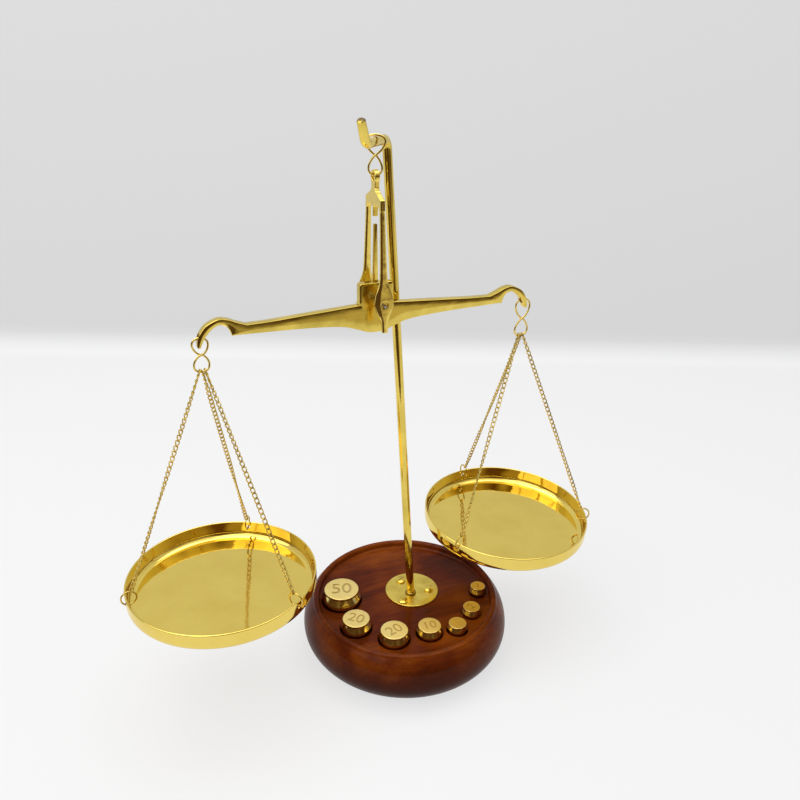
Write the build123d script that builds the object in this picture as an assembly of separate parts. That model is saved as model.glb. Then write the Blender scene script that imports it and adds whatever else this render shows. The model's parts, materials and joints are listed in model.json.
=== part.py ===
from build123d import *
import os
from math import acos, asin, atan2, ceil, cos, degrees, hypot, pi, radians, sin, sqrt, tan

# Small brass balance: a leaning rod with a hook stands on a turned wooden base, a fork
# hangs from the hook on a wire link, and a swan-neck beam rocks on a knife edge in the
# fork. Two pans hang from the beam's ends on chains, and seven weights stand in the base.
# Millimetres. The origin is the middle of the base's underside, +Z is up, and the beam
# lies along X at rest, with its front face towards -Y.

# Turned wooden base
BASE_RADIUS = 50.6
BASE_HEIGHT = 28.0
SWELL_HEIGHT = 14.0
LOWER_SWELL = 9.1
UPPER_SWELL = 4.82
FOOT_HEIGHT = 1.6
FOOT_STEP = 0.5
RIM_CREST_INSET = 6.3
RIM_INNER_INSET = 7.8
RIM_CREST_RADIUS = BASE_RADIUS - RIM_CREST_INSET
RIM_INNER_RADIUS = BASE_RADIUS - RIM_INNER_INSET
RIM_OUTER_DROP = 1.2
RIM_INNER_DROP = 1.0
DISH_DEPTH = 3.2
DISH_COVE = 1.2

# Flange plate and its screws
FLANGE_RADIUS = 13.3
FLANGE_THICKNESS = 1.0
FLANGE_EDGE = 0.35
FLANGE_CENTRE = (5.2, 3.2)
SCREW_PLACES = ((4.7, 106.0), (4.7, -24.0), (2.7, -139.0))
SCREW_FIRST_TURN = 20.0
SCREW_TURN_STEP = 50.0
SCREW_HEAD_RADIUS = 2.1
SCREW_HEAD_HEIGHT = 1.25
SCREW_SHANK_RADIUS = 1.1
SCREW_LENGTH = 9.0
SCREW_SLOT_WIDTH = 0.6
SCREW_SLOT_DEPTH = 0.55
SCREW_CLEARANCE = 0.1

# Rod with its hook
ROD_RADIUS = 1.9
ROD_FOOT = (3.5, 0.8)
ROD_LEAN_X = -0.0577
ROD_LEAN_Y = 0.0268
ROD_TENON = 12.0
HOOK_HEIGHT = 243.3
HOOK_REACH = 23.0
HOOK_BEND = 4.0
HOOK_RISE = 8.6
HOOK_OPENING = 30.0
ROD_TIP_EDGE = 0.5
COLLAR_RADIUS = 2.8
COLLAR_HEIGHT = 1.3

# Wire links and rings. The hook link hangs on the rod, and its loops are measured
# between the middles of the wire
LINK_WIRE = 0.8
LINK_GAP = 0.12
TAB_GAP = 0.6
HOOK_LINK_UPPER_WIDTH = 8.5
HOOK_LINK_LOWER_WIDTH = 6.0
HOOK_LINK_UPPER_LOOP = 7.32
HOOK_LINK_LOWER_LOOP = 7.25
HOOK_LINK_TURN = 24.0
CROSSING_LAP = 0.6
LEFT_HANGER_WIDTH = 6.7
LEFT_HANGER_UPPER_LOOP = 6.75
LEFT_HANGER_LOWER_LOOP = 6.9
RIGHT_HANGER_WIDTH = 7.6
RIGHT_HANGER_UPPER_LOOP = 8.95
RIGHT_HANGER_LOWER_LOOP = 8.2
RIM_RING_RADIUS = 3.15
RIM_RING_WIRE = 0.7
LINK_TOP = HOOK_HEIGHT + ROD_RADIUS + LINK_GAP + LINK_WIRE / 2
HOOK_LINK_CROSSING = LINK_TOP - HOOK_LINK_UPPER_LOOP
LINK_BOTTOM = HOOK_LINK_CROSSING - HOOK_LINK_LOWER_LOOP

# Fork, seen from the pivot's axis. It hangs on the hook link
PIVOT_X = -17.7
PIVOT_Y = -3.0
EYE_RADIUS = 1.15
EYE_DROP = 48.3
FORK_EYE_SPREAD = 9.5
FORK_TOP_SPREAD = 7.0
LEG_THICKNESS = 1.9
SHOULDER_DROP = 10.5
SHOULDER_DEPTH = 2.6
SHOULDER_FILLET = 0.8
TAIL_LENGTH = 10.9
TAIL_HALF_WIDTH = 1.3
TEAR_HALF_WIDTH = 3.95
TEAR_SHARES = (0.72, 0.97, 1.0, 0.86, 0.52)
TEAR_HEIGHTS = (-3.2, -0.4, 1.6, 4.6, 8.2)
TAIL_TOP = 6.4
LEG_FOOT = 11.0
FORK_NECK_RISE = 2.6
FORK_NECK_FOOT = 2.4
FORK_NECK_HALF_WIDTH = 1.7
FORK_NECK_TAPER = 1.6
LEG_HALF_WIDTH_LOW = 1.6
LEG_HALF_WIDTH_TOP = 0.95
TAB_HALF_THICKNESS = 1.0
TAB_RADIUS = 2.6
TAB_HOLE_RADIUS = 1.45
TONGUE_LENGTH = 4.4
TONGUE_HALF_WIDTH = 0.7
KNIFE_GAP = 0.05
TAB_HOLE_HEIGHT = LINK_BOTTOM + LINK_WIRE / 2 + TAB_GAP - TAB_HOLE_RADIUS
SHOULDER_HEIGHT = TAB_HOLE_HEIGHT - SHOULDER_DROP
EYE_HEIGHT = TAB_HOLE_HEIGHT - EYE_DROP
FORK_FOOT_HEIGHT = EYE_HEIGHT - TAIL_LENGTH
PIVOT_HEIGHT = EYE_HEIGHT - EYE_RADIUS + KNIFE_GAP

# Beam, its knife edge and its pointer. Depths are below the pivot's axis, and the swan
# neck's points are from the end of the arm's lower edge
BEAM_ARM = 71.07
BEAM_THICKNESS = 4.2
BEAM_BEVEL = 0.45
BEAM_LOWER_BEVEL = 1.2
BEAM_BEVEL_DEPTH = 0.55
HUB_HALF_WIDTH = 7.3
HUB_RISE = 8.5
HUB_DEPTH = 12.4
HUB_CORNER = 1.2
ARM_LOW_POINTS = ((4.0, 11.95), (8.2, 10.4), (16.0, 8.3), (33.0, 7.1))
ARM_ROOT_DEPTH = 0.3
ARM_ROOT_FILLET = 1.2
NECK_LENGTH = 12.0
NECK_DEPTH = 6.4
NECK_DRAWN_LENGTH = 12.0
NECK_ARCH = ((0.8, 2.3), (2.3, 4.1), (4.7, 4.6), (7.2, 2.9), (9.6, 0.4), (11.0, -1.6), (11.8, -3.2))
NECK_TIP = ((12.1, -3.55), (12.7, -3.65), (13.1, -3.4))
NECK_CROWN = ((13.3, -2.9), (12.6, -1.0), (11.1, 1.5), (8.0, 4.2), (3.1, 6.75), (-1.2, 5.5), (-6.0, 3.6))
NECK_HOLE_RADIUS = 1.2
NECK_HOLE_INSET = 0.45
NECK_HOLE_RISE = 0.05
NECK_HOLE_LENGTH = 6.0
NECK_HOLE_ANGLE = 30.0
KNIFE_HEIGHT = 1.35
KNIFE_HALF_WIDTH = 0.7
KNIFE_OVERHANG = 0.5
POINTER_LENGTH = 23.1
POINTER_SEAT = 2.5
POINTER_HALF_WIDTH_LOW = 1.2
POINTER_HALF_WIDTH_TOP = 0.75
POINTER_THICKNESS = 1.0
HUB_TOP = PIVOT_HEIGHT + HUB_RISE
POINTER_TOP = HUB_TOP + POINTER_LENGTH
NECK_FOOT_HEIGHT = PIVOT_HEIGHT - NECK_DEPTH
NECK_HOLE_HEIGHT = NECK_FOOT_HEIGHT + NECK_HOLE_RISE
LEFT_HANGER_CROSSING = NECK_HOLE_HEIGHT - LEFT_HANGER_UPPER_LOOP
LEFT_HANGER_BOTTOM = LEFT_HANGER_CROSSING - LEFT_HANGER_LOWER_LOOP
RIGHT_HANGER_CROSSING = NECK_HOLE_HEIGHT - RIGHT_HANGER_UPPER_LOOP
RIGHT_HANGER_BOTTOM = RIGHT_HANGER_CROSSING - RIGHT_HANGER_LOWER_LOOP

# Pans
PAN_RADIUS = 40.5
PAN_DEPTH = 8.5
PAN_CORNER = 3.8
PAN_SHEET = 0.8
PAN_HOLE_DROP = 2.6
PAN_HOLE_RADIUS = 0.9
PAN_HOLE_LENGTH = 4.0
LEFT_PAN_HEIGHT = 67.75
RIGHT_PAN_HEIGHT = 65.5
LEFT_PAN_TILT = (-0.8, -0.2)
RIGHT_PAN_TILT = (2.8, 1.6)
LEFT_RING_ANGLES = (60.6, 184.1, 307.6)
RIGHT_RING_ANGLES = (94.6, 206.2, 334.2)

# Chains
CHAIN_PITCH = 2.3
CHAIN_WIRE = 0.5
CHAIN_LINK_WIDTH = 2.2
CHAIN_PLAY = 0.06
CHAIN_TOP_PLAY = 0.24
CHAIN_SPREAD = 1.15

# Weights: name, mass in grams, largest radius, height above the dish, space from the
# socket to the dish's wall, and space from the socket to the one before it
BRASS_DENSITY = 0.0085
SOCKET_GAP = 0.35
SOCKET_FLOOR_GAP = 0.2
SOCKET_LEAST_DEPTH = 0.9
FIRST_BEARING = 161.16
WEIGHTS = (
    ("weight_50g", 50.0, 9.55, 6.6, 1.26, 0.0),
    ("weight_20g_a", 20.0, 7.25, 5.6, 2.54, 4.41),
    ("weight_20g_b", 20.0, 7.25, 5.2, 4.64, 4.22),
    ("weight_10g", 10.0, 6.1, 4.4, 8.1, 3.05),
    ("weight_5g", 5.0, 4.75, 3.8, 3.81, 2.02),
    ("weight_2g", 2.0, 4.6, 4.0, 3.53, 3.89),
    ("weight_1g", 1.0, 4.05, 4.2, 1.35, 7.0),
)
CAP_SHARE = 0.88
NECK_SHARE = 0.78
WEIGHT_BEVEL_SHARE = 0.50
CAP_THICKNESS_SHARE = 0.18
GROOVE_SHARE = 0.07
FLANGE_SHARE = 0.06
STEM_INSET = 0.35
RECESS_SHARE = 0.75

DISH_HEIGHT = BASE_HEIGHT - DISH_DEPTH
FLANGE_TOP = DISH_HEIGHT + FLANGE_THICKNESS


def save(solids, name):
    """Writes one sub-part; a list of solids stays a group of separate solids."""
    group = solids if isinstance(solids, (list, tuple)) else [solids]
    shape = group[0] if len(group) == 1 else Compound(children=list(group))
    shape.label = name
    export_step(shape, f"parts/{name}.step")


def arc_points(start, middle, end, count):
    """Points along the arc from start to end by way of middle."""
    arc = ThreePointArc(start, middle, end)
    places = [arc @ (k / count) for k in range(count + 1)]
    return [(place.X, place.Y) for place in places]


def smooth_points(points, count):
    """Points of a smooth curve through the given ones: between each two it is the cubic
    whose tangents are half the chord between the neighbours."""
    first = (2 * points[0][0] - points[1][0], 2 * points[0][1] - points[1][1])
    last = (2 * points[-1][0] - points[-2][0], 2 * points[-1][1] - points[-2][1])
    row = [first, *points, last]
    curve = []
    for before, here, after, beyond in zip(row, row[1:], row[2:], row[3:]):
        for k in range(count):
            t = k / count
            place = []
            for a, b, c, d in zip(before, here, after, beyond):
                place.append(
                    (2 * t**3 - 3 * t**2 + 1) * b + (t**3 - 2 * t**2 + t) * (c - a) / 2
                    + (3 * t**2 - 2 * t**3) * c + (t**3 - t**2) * (d - b) / 2)
            curve.append(tuple(place))
    return curve + [tuple(points[-1])]


def rod_place(height):
    """Middle of the leaning rod at a height."""
    rise = height - FLANGE_TOP
    return Vector(ROD_FOOT[0] + ROD_LEAN_X * rise, ROD_FOOT[1] + ROD_LEAN_Y * rise, height)


def rod_plane(height):
    """Plane square to the leaning rod at a height."""
    return Plane(origin=rod_place(height), z_dir=Vector(ROD_LEAN_X, ROD_LEAN_Y, 1.0))


def rod_bore(low, high, radius):
    """Leaning cylinder round the rod's axis, from below one height to above another."""
    length = (high - low) * sqrt(1 + ROD_LEAN_X**2 + ROD_LEAN_Y**2)
    return rod_plane(low) * Cylinder(radius, length, align=(Align.CENTER, Align.CENTER, Align.MIN))


def screw_centre(place):
    inset, angle = place
    radius = FLANGE_RADIUS - inset
    return (
        FLANGE_CENTRE[0] + radius * cos(radians(angle)),
        FLANGE_CENTRE[1] + radius * sin(radians(angle)),
    )


def upright(radius, low, high, place):
    """Upright cylinder between two heights."""
    body = Cylinder(radius, high - low, align=(Align.CENTER, Align.CENTER, Align.MIN))
    return Pos(place[0], place[1], low) * body


# Weights

def weight_shape(mass, radius, height):
    """Sizes of a weight: neck and cap radii, and how deep its stem goes in the base."""
    cap = radius * CAP_SHARE
    neck = radius * NECK_SHARE
    bevel = height * WEIGHT_BEVEL_SHARE
    cap_thickness = height * CAP_THICKNESS_SHARE
    groove = height * GROOVE_SHARE
    flange = height * FLANGE_SHARE
    stem = radius - STEM_INSET
    head = pi * cap**2 * cap_thickness + pi * neck**2 * groove
    cone = pi * bevel * (radius**2 + radius * cap + cap**2) / 3
    rest = height - cap_thickness - groove - bevel - flange
    above = head + cone + pi * radius**2 * flange + pi * stem**2 * rest
    wanted = mass / BRASS_DENSITY
    depth = max(SOCKET_LEAST_DEPTH, (wanted - above) / (pi * stem**2))
    spare = above + pi * stem**2 * depth - wanted
    return cap, neck, stem, bevel, cap_thickness, groove, flange, depth, max(0.0, spare)


def weight_places():
    """Middles of the sockets, in order round the dish: each keeps its space to the wall
    and to the socket before it."""
    places = []
    bearing = FIRST_BEARING
    last_radius, last_reach = 0.0, 0.0
    for name, mass, radius, height, to_wall, to_last in WEIGHTS:
        reach = RIM_INNER_RADIUS - to_wall - SOCKET_GAP - radius
        if places:
            apart = radius + last_radius + 2 * SOCKET_GAP + to_last
            bearing += degrees(acos((reach**2 + last_reach**2 - apart**2) / (2 * reach * last_reach)))
        places.append((reach * cos(radians(bearing)), reach * sin(radians(bearing))))
        last_radius, last_reach = radius, reach
    return places


def weight(mass, radius, height, place):
    """Turned weight: stem, bevelled flange, neck groove and flat cap. A weight that would
    be too heavy has a round recess in its underside."""
    cap, neck, stem, bevel, cap_thickness, groove, flange, depth, spare = weight_shape(mass, radius, height)
    low = DISH_HEIGHT - depth
    top = DISH_HEIGHT + height
    under_cap = top - cap_thickness
    under_neck = under_cap - groove
    edge = under_neck - bevel
    outline = Polyline(
        (0, low), (stem, low), (stem, edge - flange), (radius, edge - flange), (radius, edge),
        (cap, under_neck), (neck, under_neck), (neck, under_cap), (cap, under_cap), (cap, top), (0, top),
        close=True,
    )
    body = revolve(Plane.XZ * make_face(outline), Axis.Z)
    if spare > 0:
        recess_radius = radius * RECESS_SHARE
        recess_depth = spare / (pi * recess_radius**2)
        body -= Cylinder(recess_radius, 2 * recess_depth, align=(Align.CENTER, Align.CENTER, Align.CENTER)).moved(
            Location((0, 0, low)))
    return Pos(place[0], place[1], 0) * body


# Base, flange and rod

def wooden_base():
    """Turned base with a swollen side, a rounded lip, a dish and the weights' sockets."""
    drop = SWELL_HEIGHT - FOOT_HEIGHT
    rise = BASE_HEIGHT - RIM_OUTER_DROP - SWELL_HEIGHT
    low_radius = (LOWER_SWELL**2 + drop**2) / (2 * LOWER_SWELL)
    high_radius = (UPPER_SWELL**2 + rise**2) / (2 * UPPER_SWELL)
    low_half = atan2(drop, low_radius - LOWER_SWELL) / 2
    high_half = atan2(rise, high_radius - UPPER_SWELL) / 2
    foot = (BASE_RADIUS - LOWER_SWELL, FOOT_HEIGHT)
    widest = (BASE_RADIUS, SWELL_HEIGHT)
    lip_outer = (BASE_RADIUS - UPPER_SWELL, BASE_HEIGHT - RIM_OUTER_DROP)
    low_middle = (BASE_RADIUS - low_radius * (1 - cos(low_half)), SWELL_HEIGHT - low_radius * sin(low_half))
    high_middle = (BASE_RADIUS - high_radius * (1 - cos(high_half)), SWELL_HEIGHT + high_radius * sin(high_half))
    crest = (RIM_CREST_RADIUS, BASE_HEIGHT)
    lip_inner = (RIM_INNER_RADIUS, BASE_HEIGHT - RIM_INNER_DROP)
    lip = arc_points(lip_outer, crest, lip_inner, 4)
    lip[2] = crest
    cove_top = (RIM_INNER_RADIUS, DISH_HEIGHT + DISH_COVE)
    cove_low = (RIM_INNER_RADIUS - DISH_COVE, DISH_HEIGHT)
    cove_middle = (
        RIM_INNER_RADIUS - DISH_COVE * (1 - cos(pi / 4)),
        DISH_HEIGHT + DISH_COVE * (1 - sin(pi / 4)),
    )
    foot_radius = foot[0] - FOOT_STEP
    outline = [
        (0, 0), (foot_radius, 0), (foot_radius, FOOT_HEIGHT),
        *arc_points(foot, low_middle, widest, 5),
        *arc_points(widest, high_middle, lip_outer, 4)[1:],
        *lip[1:],
        *arc_points(cove_top, cove_middle, cove_low, 2),
        (0, DISH_HEIGHT),
    ]
    body = revolve(Plane.XZ * make_face(Polyline(*outline, close=True)), Axis.Z)
    above = BASE_HEIGHT + 1.0
    for (name, mass, radius, height, to_wall, to_last), place in zip(WEIGHTS, weight_places()):
        depth = weight_shape(mass, radius, height)[7]
        body -= upright(radius + SOCKET_GAP, DISH_HEIGHT - depth - SOCKET_FLOOR_GAP, above, place)
    body -= rod_bore(FLANGE_TOP - ROD_TENON, above, ROD_RADIUS)
    for place in SCREW_PLACES:
        body -= upright(SCREW_SHANK_RADIUS, FLANGE_TOP - SCREW_LENGTH, above, screw_centre(place))
    return body


def flange_plate():
    """Round plate that the rod stands in, bored for the rod and its three screws."""
    plate = upright(FLANGE_RADIUS, DISH_HEIGHT, FLANGE_TOP, FLANGE_CENTRE)
    plate = chamfer(plate.edges().group_by(Axis.Z)[-1], FLANGE_EDGE)
    plate -= rod_bore(DISH_HEIGHT - 1.0, FLANGE_TOP + 1.0, ROD_RADIUS)
    for place in SCREW_PLACES:
        hole = SCREW_SHANK_RADIUS + SCREW_CLEARANCE
        plate -= upright(hole, DISH_HEIGHT - 1.0, FLANGE_TOP + 1.0, screw_centre(place))
    return plate


def flange_screw(place, turn):
    """Round-head wood screw, seated on the flange, with its slot turned at random."""
    dome = (SCREW_HEAD_RADIUS**2 + SCREW_HEAD_HEIGHT**2) / (2 * SCREW_HEAD_HEIGHT)
    half = asin(SCREW_HEAD_RADIUS / dome) / 2
    middle = (dome * sin(half), FLANGE_TOP + SCREW_HEAD_HEIGHT - dome * (1 - cos(half)))
    tip = FLANGE_TOP - SCREW_LENGTH
    outline = [
        (0, tip), (SCREW_SHANK_RADIUS, tip + 2 * SCREW_SHANK_RADIUS), (SCREW_SHANK_RADIUS, FLANGE_TOP),
        *arc_points((SCREW_HEAD_RADIUS, FLANGE_TOP), middle, (0, FLANGE_TOP + SCREW_HEAD_HEIGHT), 3),
    ]
    body = revolve(Plane.XZ * make_face(Polyline(*outline, close=True)), Axis.Z)
    slot = Box(3 * SCREW_HEAD_RADIUS, SCREW_SLOT_WIDTH, 2 * SCREW_SLOT_DEPTH)
    body -= Pos(0, 0, FLANGE_TOP + SCREW_HEAD_HEIGHT) * Rot(0, 0, turn) * slot
    return Pos(*screw_centre(place), 0) * body


def rod_collar():
    """Small turned bead round the rod's foot, flat on the flange."""
    disc = Cylinder(COLLAR_RADIUS, COLLAR_HEIGHT, align=(Align.CENTER, Align.CENTER, Align.MIN))
    disc = chamfer(disc.edges().group_by(Axis.Z)[-1], COLLAR_HEIGHT * 0.45)
    foot = rod_place(FLANGE_TOP)
    return Pos(foot.X, foot.Y, FLANGE_TOP) * disc - rod_bore(FLANGE_TOP - 1, FLANGE_TOP + 3, ROD_RADIUS)


def hook_direction():
    """Level direction of the hook's run, which passes straight above the pivot."""
    corner = rod_place(HOOK_HEIGHT)
    return Vector(PIVOT_X - corner.X, PIVOT_Y - corner.Y, 0).normalized()


def hooked_rod():
    """Straight leaning rod, bent level over the pivot and up again at its tip."""
    corner = rod_place(HOOK_HEIGHT)
    ahead = hook_direction()
    turn_up = corner + ahead * HOOK_REACH
    tip = turn_up + ahead * HOOK_RISE * tan(radians(HOOK_OPENING)) + Vector(0, 0, HOOK_RISE)
    foot = rod_place(FLANGE_TOP - ROD_TENON)
    path = FilletPolyline(foot, corner, turn_up, tip, radius=HOOK_BEND)
    section = Plane(origin=foot, z_dir=path % 0) * Circle(ROD_RADIUS)
    body = sweep(section, path)
    end = body.faces().sort_by_distance(tip)[0]
    return chamfer(end.edges(), ROD_TIP_EDGE)


# Faceted wire, for links and rings

def faceted_wire(points, normal, half_widths):
    """Closed wire of flat facets: its middle line runs through the points, in the plane
    square to the normal, and each half width pair is a corner of its section, given as
    outwards from the loop's middle and along the normal."""
    count = len(points)
    rows = []
    for i in range(count):
        before, here, after = points[i - 1], points[i], points[(i + 1) % count]
        back = (here - before).normalized()
        ahead = (after - here).normalized()
        out_back = back.cross(normal)
        out_ahead = ahead.cross(normal)
        mitre = (out_back + out_ahead).normalized()
        stretch = 1 / mitre.dot(out_ahead)
        rows.append([here + mitre * (u * stretch) + normal * w for u, w in half_widths])
    sides = len(half_widths)
    faces = []
    for i in range(count):
        for j in range(sides):
            a, b = rows[i][j], rows[(i + 1) % count][j]
            c, d = rows[(i + 1) % count][(j + 1) % sides], rows[i][(j + 1) % sides]
            faces.append(Face(Wire.make_polygon([a, b, c, d], close=True)))
    return Solid(Shell(faces))


def section_corners(radius, sides, start):
    """Corners of a regular section with the area of a round wire."""
    reach = radius * sqrt(2 * pi / (sides * sin(2 * pi / sides)))
    return [
        (reach * cos(start + 2 * pi * k / sides), reach * sin(start + 2 * pi * k / sides))
        for k in range(sides)
    ]


def oval_points(centre, across, along, half_across, half_along, count):
    """Corners round an oval whose half widths are to the middles of the flats at its ends,
    in order so that across, along and the normal are right-handed."""
    reach = 1 / cos(pi / count)
    return [
        centre + across * (half_across * reach * cos(2 * pi * (k + 0.5) / count))
        + along * (half_along * reach * sin(2 * pi * (k + 0.5) / count))
        for k in range(count)
    ]


def figure_eight(x, y, turn, top, crossing, bottom, upper_width, lower_width):
    """Wire bent in two loops, one above the other, that lap at the crossing. The heights
    are of the wire's middle line, the widths are over the wire."""
    across = Vector(cos(radians(turn)), sin(radians(turn)), 0)
    up = Vector(0, 0, 1)
    normal = across.cross(up)
    loops = []
    for high, low, width in (
        (top, crossing + CROSSING_LAP / 2, upper_width),
        (crossing - CROSSING_LAP / 2, bottom, lower_width),
    ):
        points = oval_points(
            Vector(x, y, (high + low) / 2), across, up, (width - LINK_WIRE) / 2, (high - low) / 2, 16)
        loops.append(faceted_wire(points, normal, section_corners(LINK_WIRE / 2, 6, 0)))
    return loops[0] + loops[1]


def hook_link():
    """Figure-eight wire that hangs on the hook and carries the fork."""
    return figure_eight(
        PIVOT_X, PIVOT_Y, -HOOK_LINK_TURN, LINK_TOP, HOOK_LINK_CROSSING, LINK_BOTTOM,
        HOOK_LINK_UPPER_WIDTH, HOOK_LINK_LOWER_WIDTH)


def pan_hanger(side, crossing, bottom, width):
    """Figure-eight wire through the hole at one end of the beam."""
    return figure_eight(
        PIVOT_X + side * BEAM_ARM, PIVOT_Y, 0, NECK_HOLE_HEIGHT, crossing, bottom, width, width)


# Fork

def mirrored(points):
    """Outline from its right half, listed from the bottom up."""
    return [(x, z) for x, z in points] + [(-x, z) for x, z in reversed(points)]


def fork():
    """Cast fork: a pierced tab above, a bridge with a short index tongue, and two splayed
    legs that end in drop-shaped eyes for the knife edge."""
    eye = EYE_HEIGHT
    leg_top = SHOULDER_HEIGHT
    neck = SHOULDER_HEIGHT + SHOULDER_DEPTH + FORK_NECK_RISE
    tab_top = TAB_HOLE_HEIGHT + 2 * TAB_RADIUS
    right = [
        (TAIL_HALF_WIDTH, FORK_FOOT_HEIGHT), (TAIL_HALF_WIDTH, eye - TAIL_TOP),
        *[(TEAR_HALF_WIDTH * share, eye + rise) for share, rise in zip(TEAR_SHARES, TEAR_HEIGHTS)],
        (LEG_HALF_WIDTH_LOW, eye + LEG_FOOT), (LEG_HALF_WIDTH_TOP, leg_top),
        (TAB_HALF_THICKNESS, neck), (TAB_HALF_THICKNESS, tab_top),
    ]
    side_view = make_face(Polyline(*mirrored(right), close=True))
    side_body = extrude(Plane.XZ * side_view, FORK_EYE_SPREAD * 2, both=True)

    splay = (FORK_EYE_SPREAD - FORK_TOP_SPREAD) / (leg_top - eye)
    low_spread = FORK_EYE_SPREAD + splay * (eye - FORK_FOOT_HEIGHT)
    half = LEG_THICKNESS / 2
    shoulder = FORK_TOP_SPREAD + half
    outer = [
        (low_spread + half, FORK_FOOT_HEIGHT), (shoulder, leg_top),
        (shoulder, leg_top + SHOULDER_DEPTH), (FORK_NECK_FOOT, neck),
        (FORK_NECK_HALF_WIDTH, neck + FORK_NECK_TAPER), (FORK_NECK_HALF_WIDTH, TAB_HOLE_HEIGHT),
    ]
    inner = [
        (low_spread - half, FORK_FOOT_HEIGHT), (FORK_TOP_SPREAD - half, leg_top - SHOULDER_FILLET),
        (FORK_TOP_SPREAD - half - SHOULDER_FILLET, leg_top), (TONGUE_HALF_WIDTH, leg_top),
        (TONGUE_HALF_WIDTH, leg_top - TONGUE_LENGTH),
    ]
    front_view = make_face(Polyline(*mirrored(outer), close=True))
    front_view -= make_face(Polyline(
        (inner[0][0], inner[0][1] - 1), *inner, (-inner[4][0], inner[4][1]), (-inner[3][0], inner[3][1]),
        (-inner[2][0], inner[2][1]), (-inner[1][0], inner[1][1]), (-inner[0][0], inner[0][1]),
        (-inner[0][0], inner[0][1] - 1), close=True))
    front_view += Pos(0, TAB_HOLE_HEIGHT) * Circle(TAB_RADIUS)
    front_view -= Pos(0, TAB_HOLE_HEIGHT) * Circle(TAB_HOLE_RADIUS)
    front_body = extrude(Plane.YZ * front_view, TEAR_HALF_WIDTH * 2, both=True)

    body = side_body & front_body
    bore = Rot(90, 0, 0) * Cylinder(EYE_RADIUS, 4 * FORK_EYE_SPREAD)
    body -= Pos(0, 0, eye) * bore
    return Pos(PIVOT_X, PIVOT_Y, 0) * body


# Beam

def beam_outline():
    """Right half of the beam's front outline, from the middle of the hub's underside to
    the middle of its top, with x from the pivot. The first points, up to the arm's end,
    are its lower edge; their number is given too."""
    arm_end = BEAM_ARM - NECK_LENGTH
    ratio = NECK_LENGTH / NECK_DRAWN_LENGTH

    def neck(points):
        return [(arm_end + x * ratio, NECK_FOOT_HEIGHT + z) for x, z in points]

    depths = [(0.0, HUB_DEPTH), *ARM_LOW_POINTS, (arm_end, NECK_DEPTH)]
    lower = smooth_points([(x, PIVOT_HEIGHT - depth) for x, depth in depths], 3)
    arch = smooth_points([(arm_end, NECK_FOOT_HEIGHT), *neck(NECK_ARCH)], 3)
    crown = smooth_points(neck(NECK_CROWN), 3)
    corner = arc_points(
        (HUB_HALF_WIDTH, HUB_TOP - HUB_CORNER),
        (HUB_HALF_WIDTH - HUB_CORNER * (1 - sin(pi / 4)), HUB_TOP - HUB_CORNER * (1 - sin(pi / 4))),
        (HUB_HALF_WIDTH - HUB_CORNER, HUB_TOP), 3)
    root = PIVOT_HEIGHT - ARM_ROOT_DEPTH
    root_fillet = [(HUB_HALF_WIDTH + ARM_ROOT_FILLET, root), (HUB_HALF_WIDTH, root + ARM_ROOT_FILLET)]
    return lower + arch[1:] + neck(NECK_TIP) + crown + root_fillet + corner, len(lower)


def bevelled_plate(outline, insets, depth, thickness):
    """Upright plate with both its faces bevelled: each edge of the outline, listed with the
    plate on its left, has its own inset at the face and all have one depth."""
    count = len(outline)
    ahead = []
    for k in range(count):
        (x, z), (next_x, next_z) = outline[k], outline[(k + 1) % count]
        span = hypot(next_x - x, next_z - z)
        ahead.append(((next_x - x) / span, (next_z - z) / span))
    inner = []
    for k in range(count):
        (bx, bz), (ax, az) = ahead[k - 1], ahead[k]
        cross = bx * az - bz * ax
        if abs(cross) < 1e-9:
            shift = (-az * insets[k], ax * insets[k])
        else:
            shift = (
                (insets[k - 1] * ax - insets[k] * bx) / cross,
                (insets[k - 1] * az - insets[k] * bz) / cross,
            )
        inner.append((outline[k][0] + shift[0], outline[k][1] + shift[1]))
    half = thickness / 2
    rows = []
    for points, y in ((inner, -half), (outline, depth - half), (outline, half - depth), (inner, half)):
        rows.append([Vector(x, y, z) for x, z in points])
    faces = [Face(Wire.make_polygon(rows[0], close=True)), Face(Wire.make_polygon(rows[3], close=True))]
    for low, high in zip(rows, rows[1:]):
        for k in range(count):
            after = (k + 1) % count
            faces.append(Face(Wire.make_polygon([low[k], low[after], high[after], high[k]], close=True)))
    return Solid(Shell(faces))


def knife_prism(length, spare):
    """Three-sided bar along Y with its edge down on the pivot's axis."""
    outline = Polyline(
        (0, 0), (KNIFE_HALF_WIDTH + spare, KNIFE_HEIGHT + spare),
        (-KNIFE_HALF_WIDTH - spare, KNIFE_HEIGHT + spare), close=True)
    return extrude(Plane.XZ * make_face(outline), length / 2, both=True)


def pointer_outline(low, spare):
    return Polyline(
        (POINTER_HALF_WIDTH_LOW + spare, low), (POINTER_HALF_WIDTH_TOP + spare, POINTER_TOP + spare),
        (-POINTER_HALF_WIDTH_TOP - spare, POINTER_TOP + spare), (-POINTER_HALF_WIDTH_LOW - spare, low),
        close=True)


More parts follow.
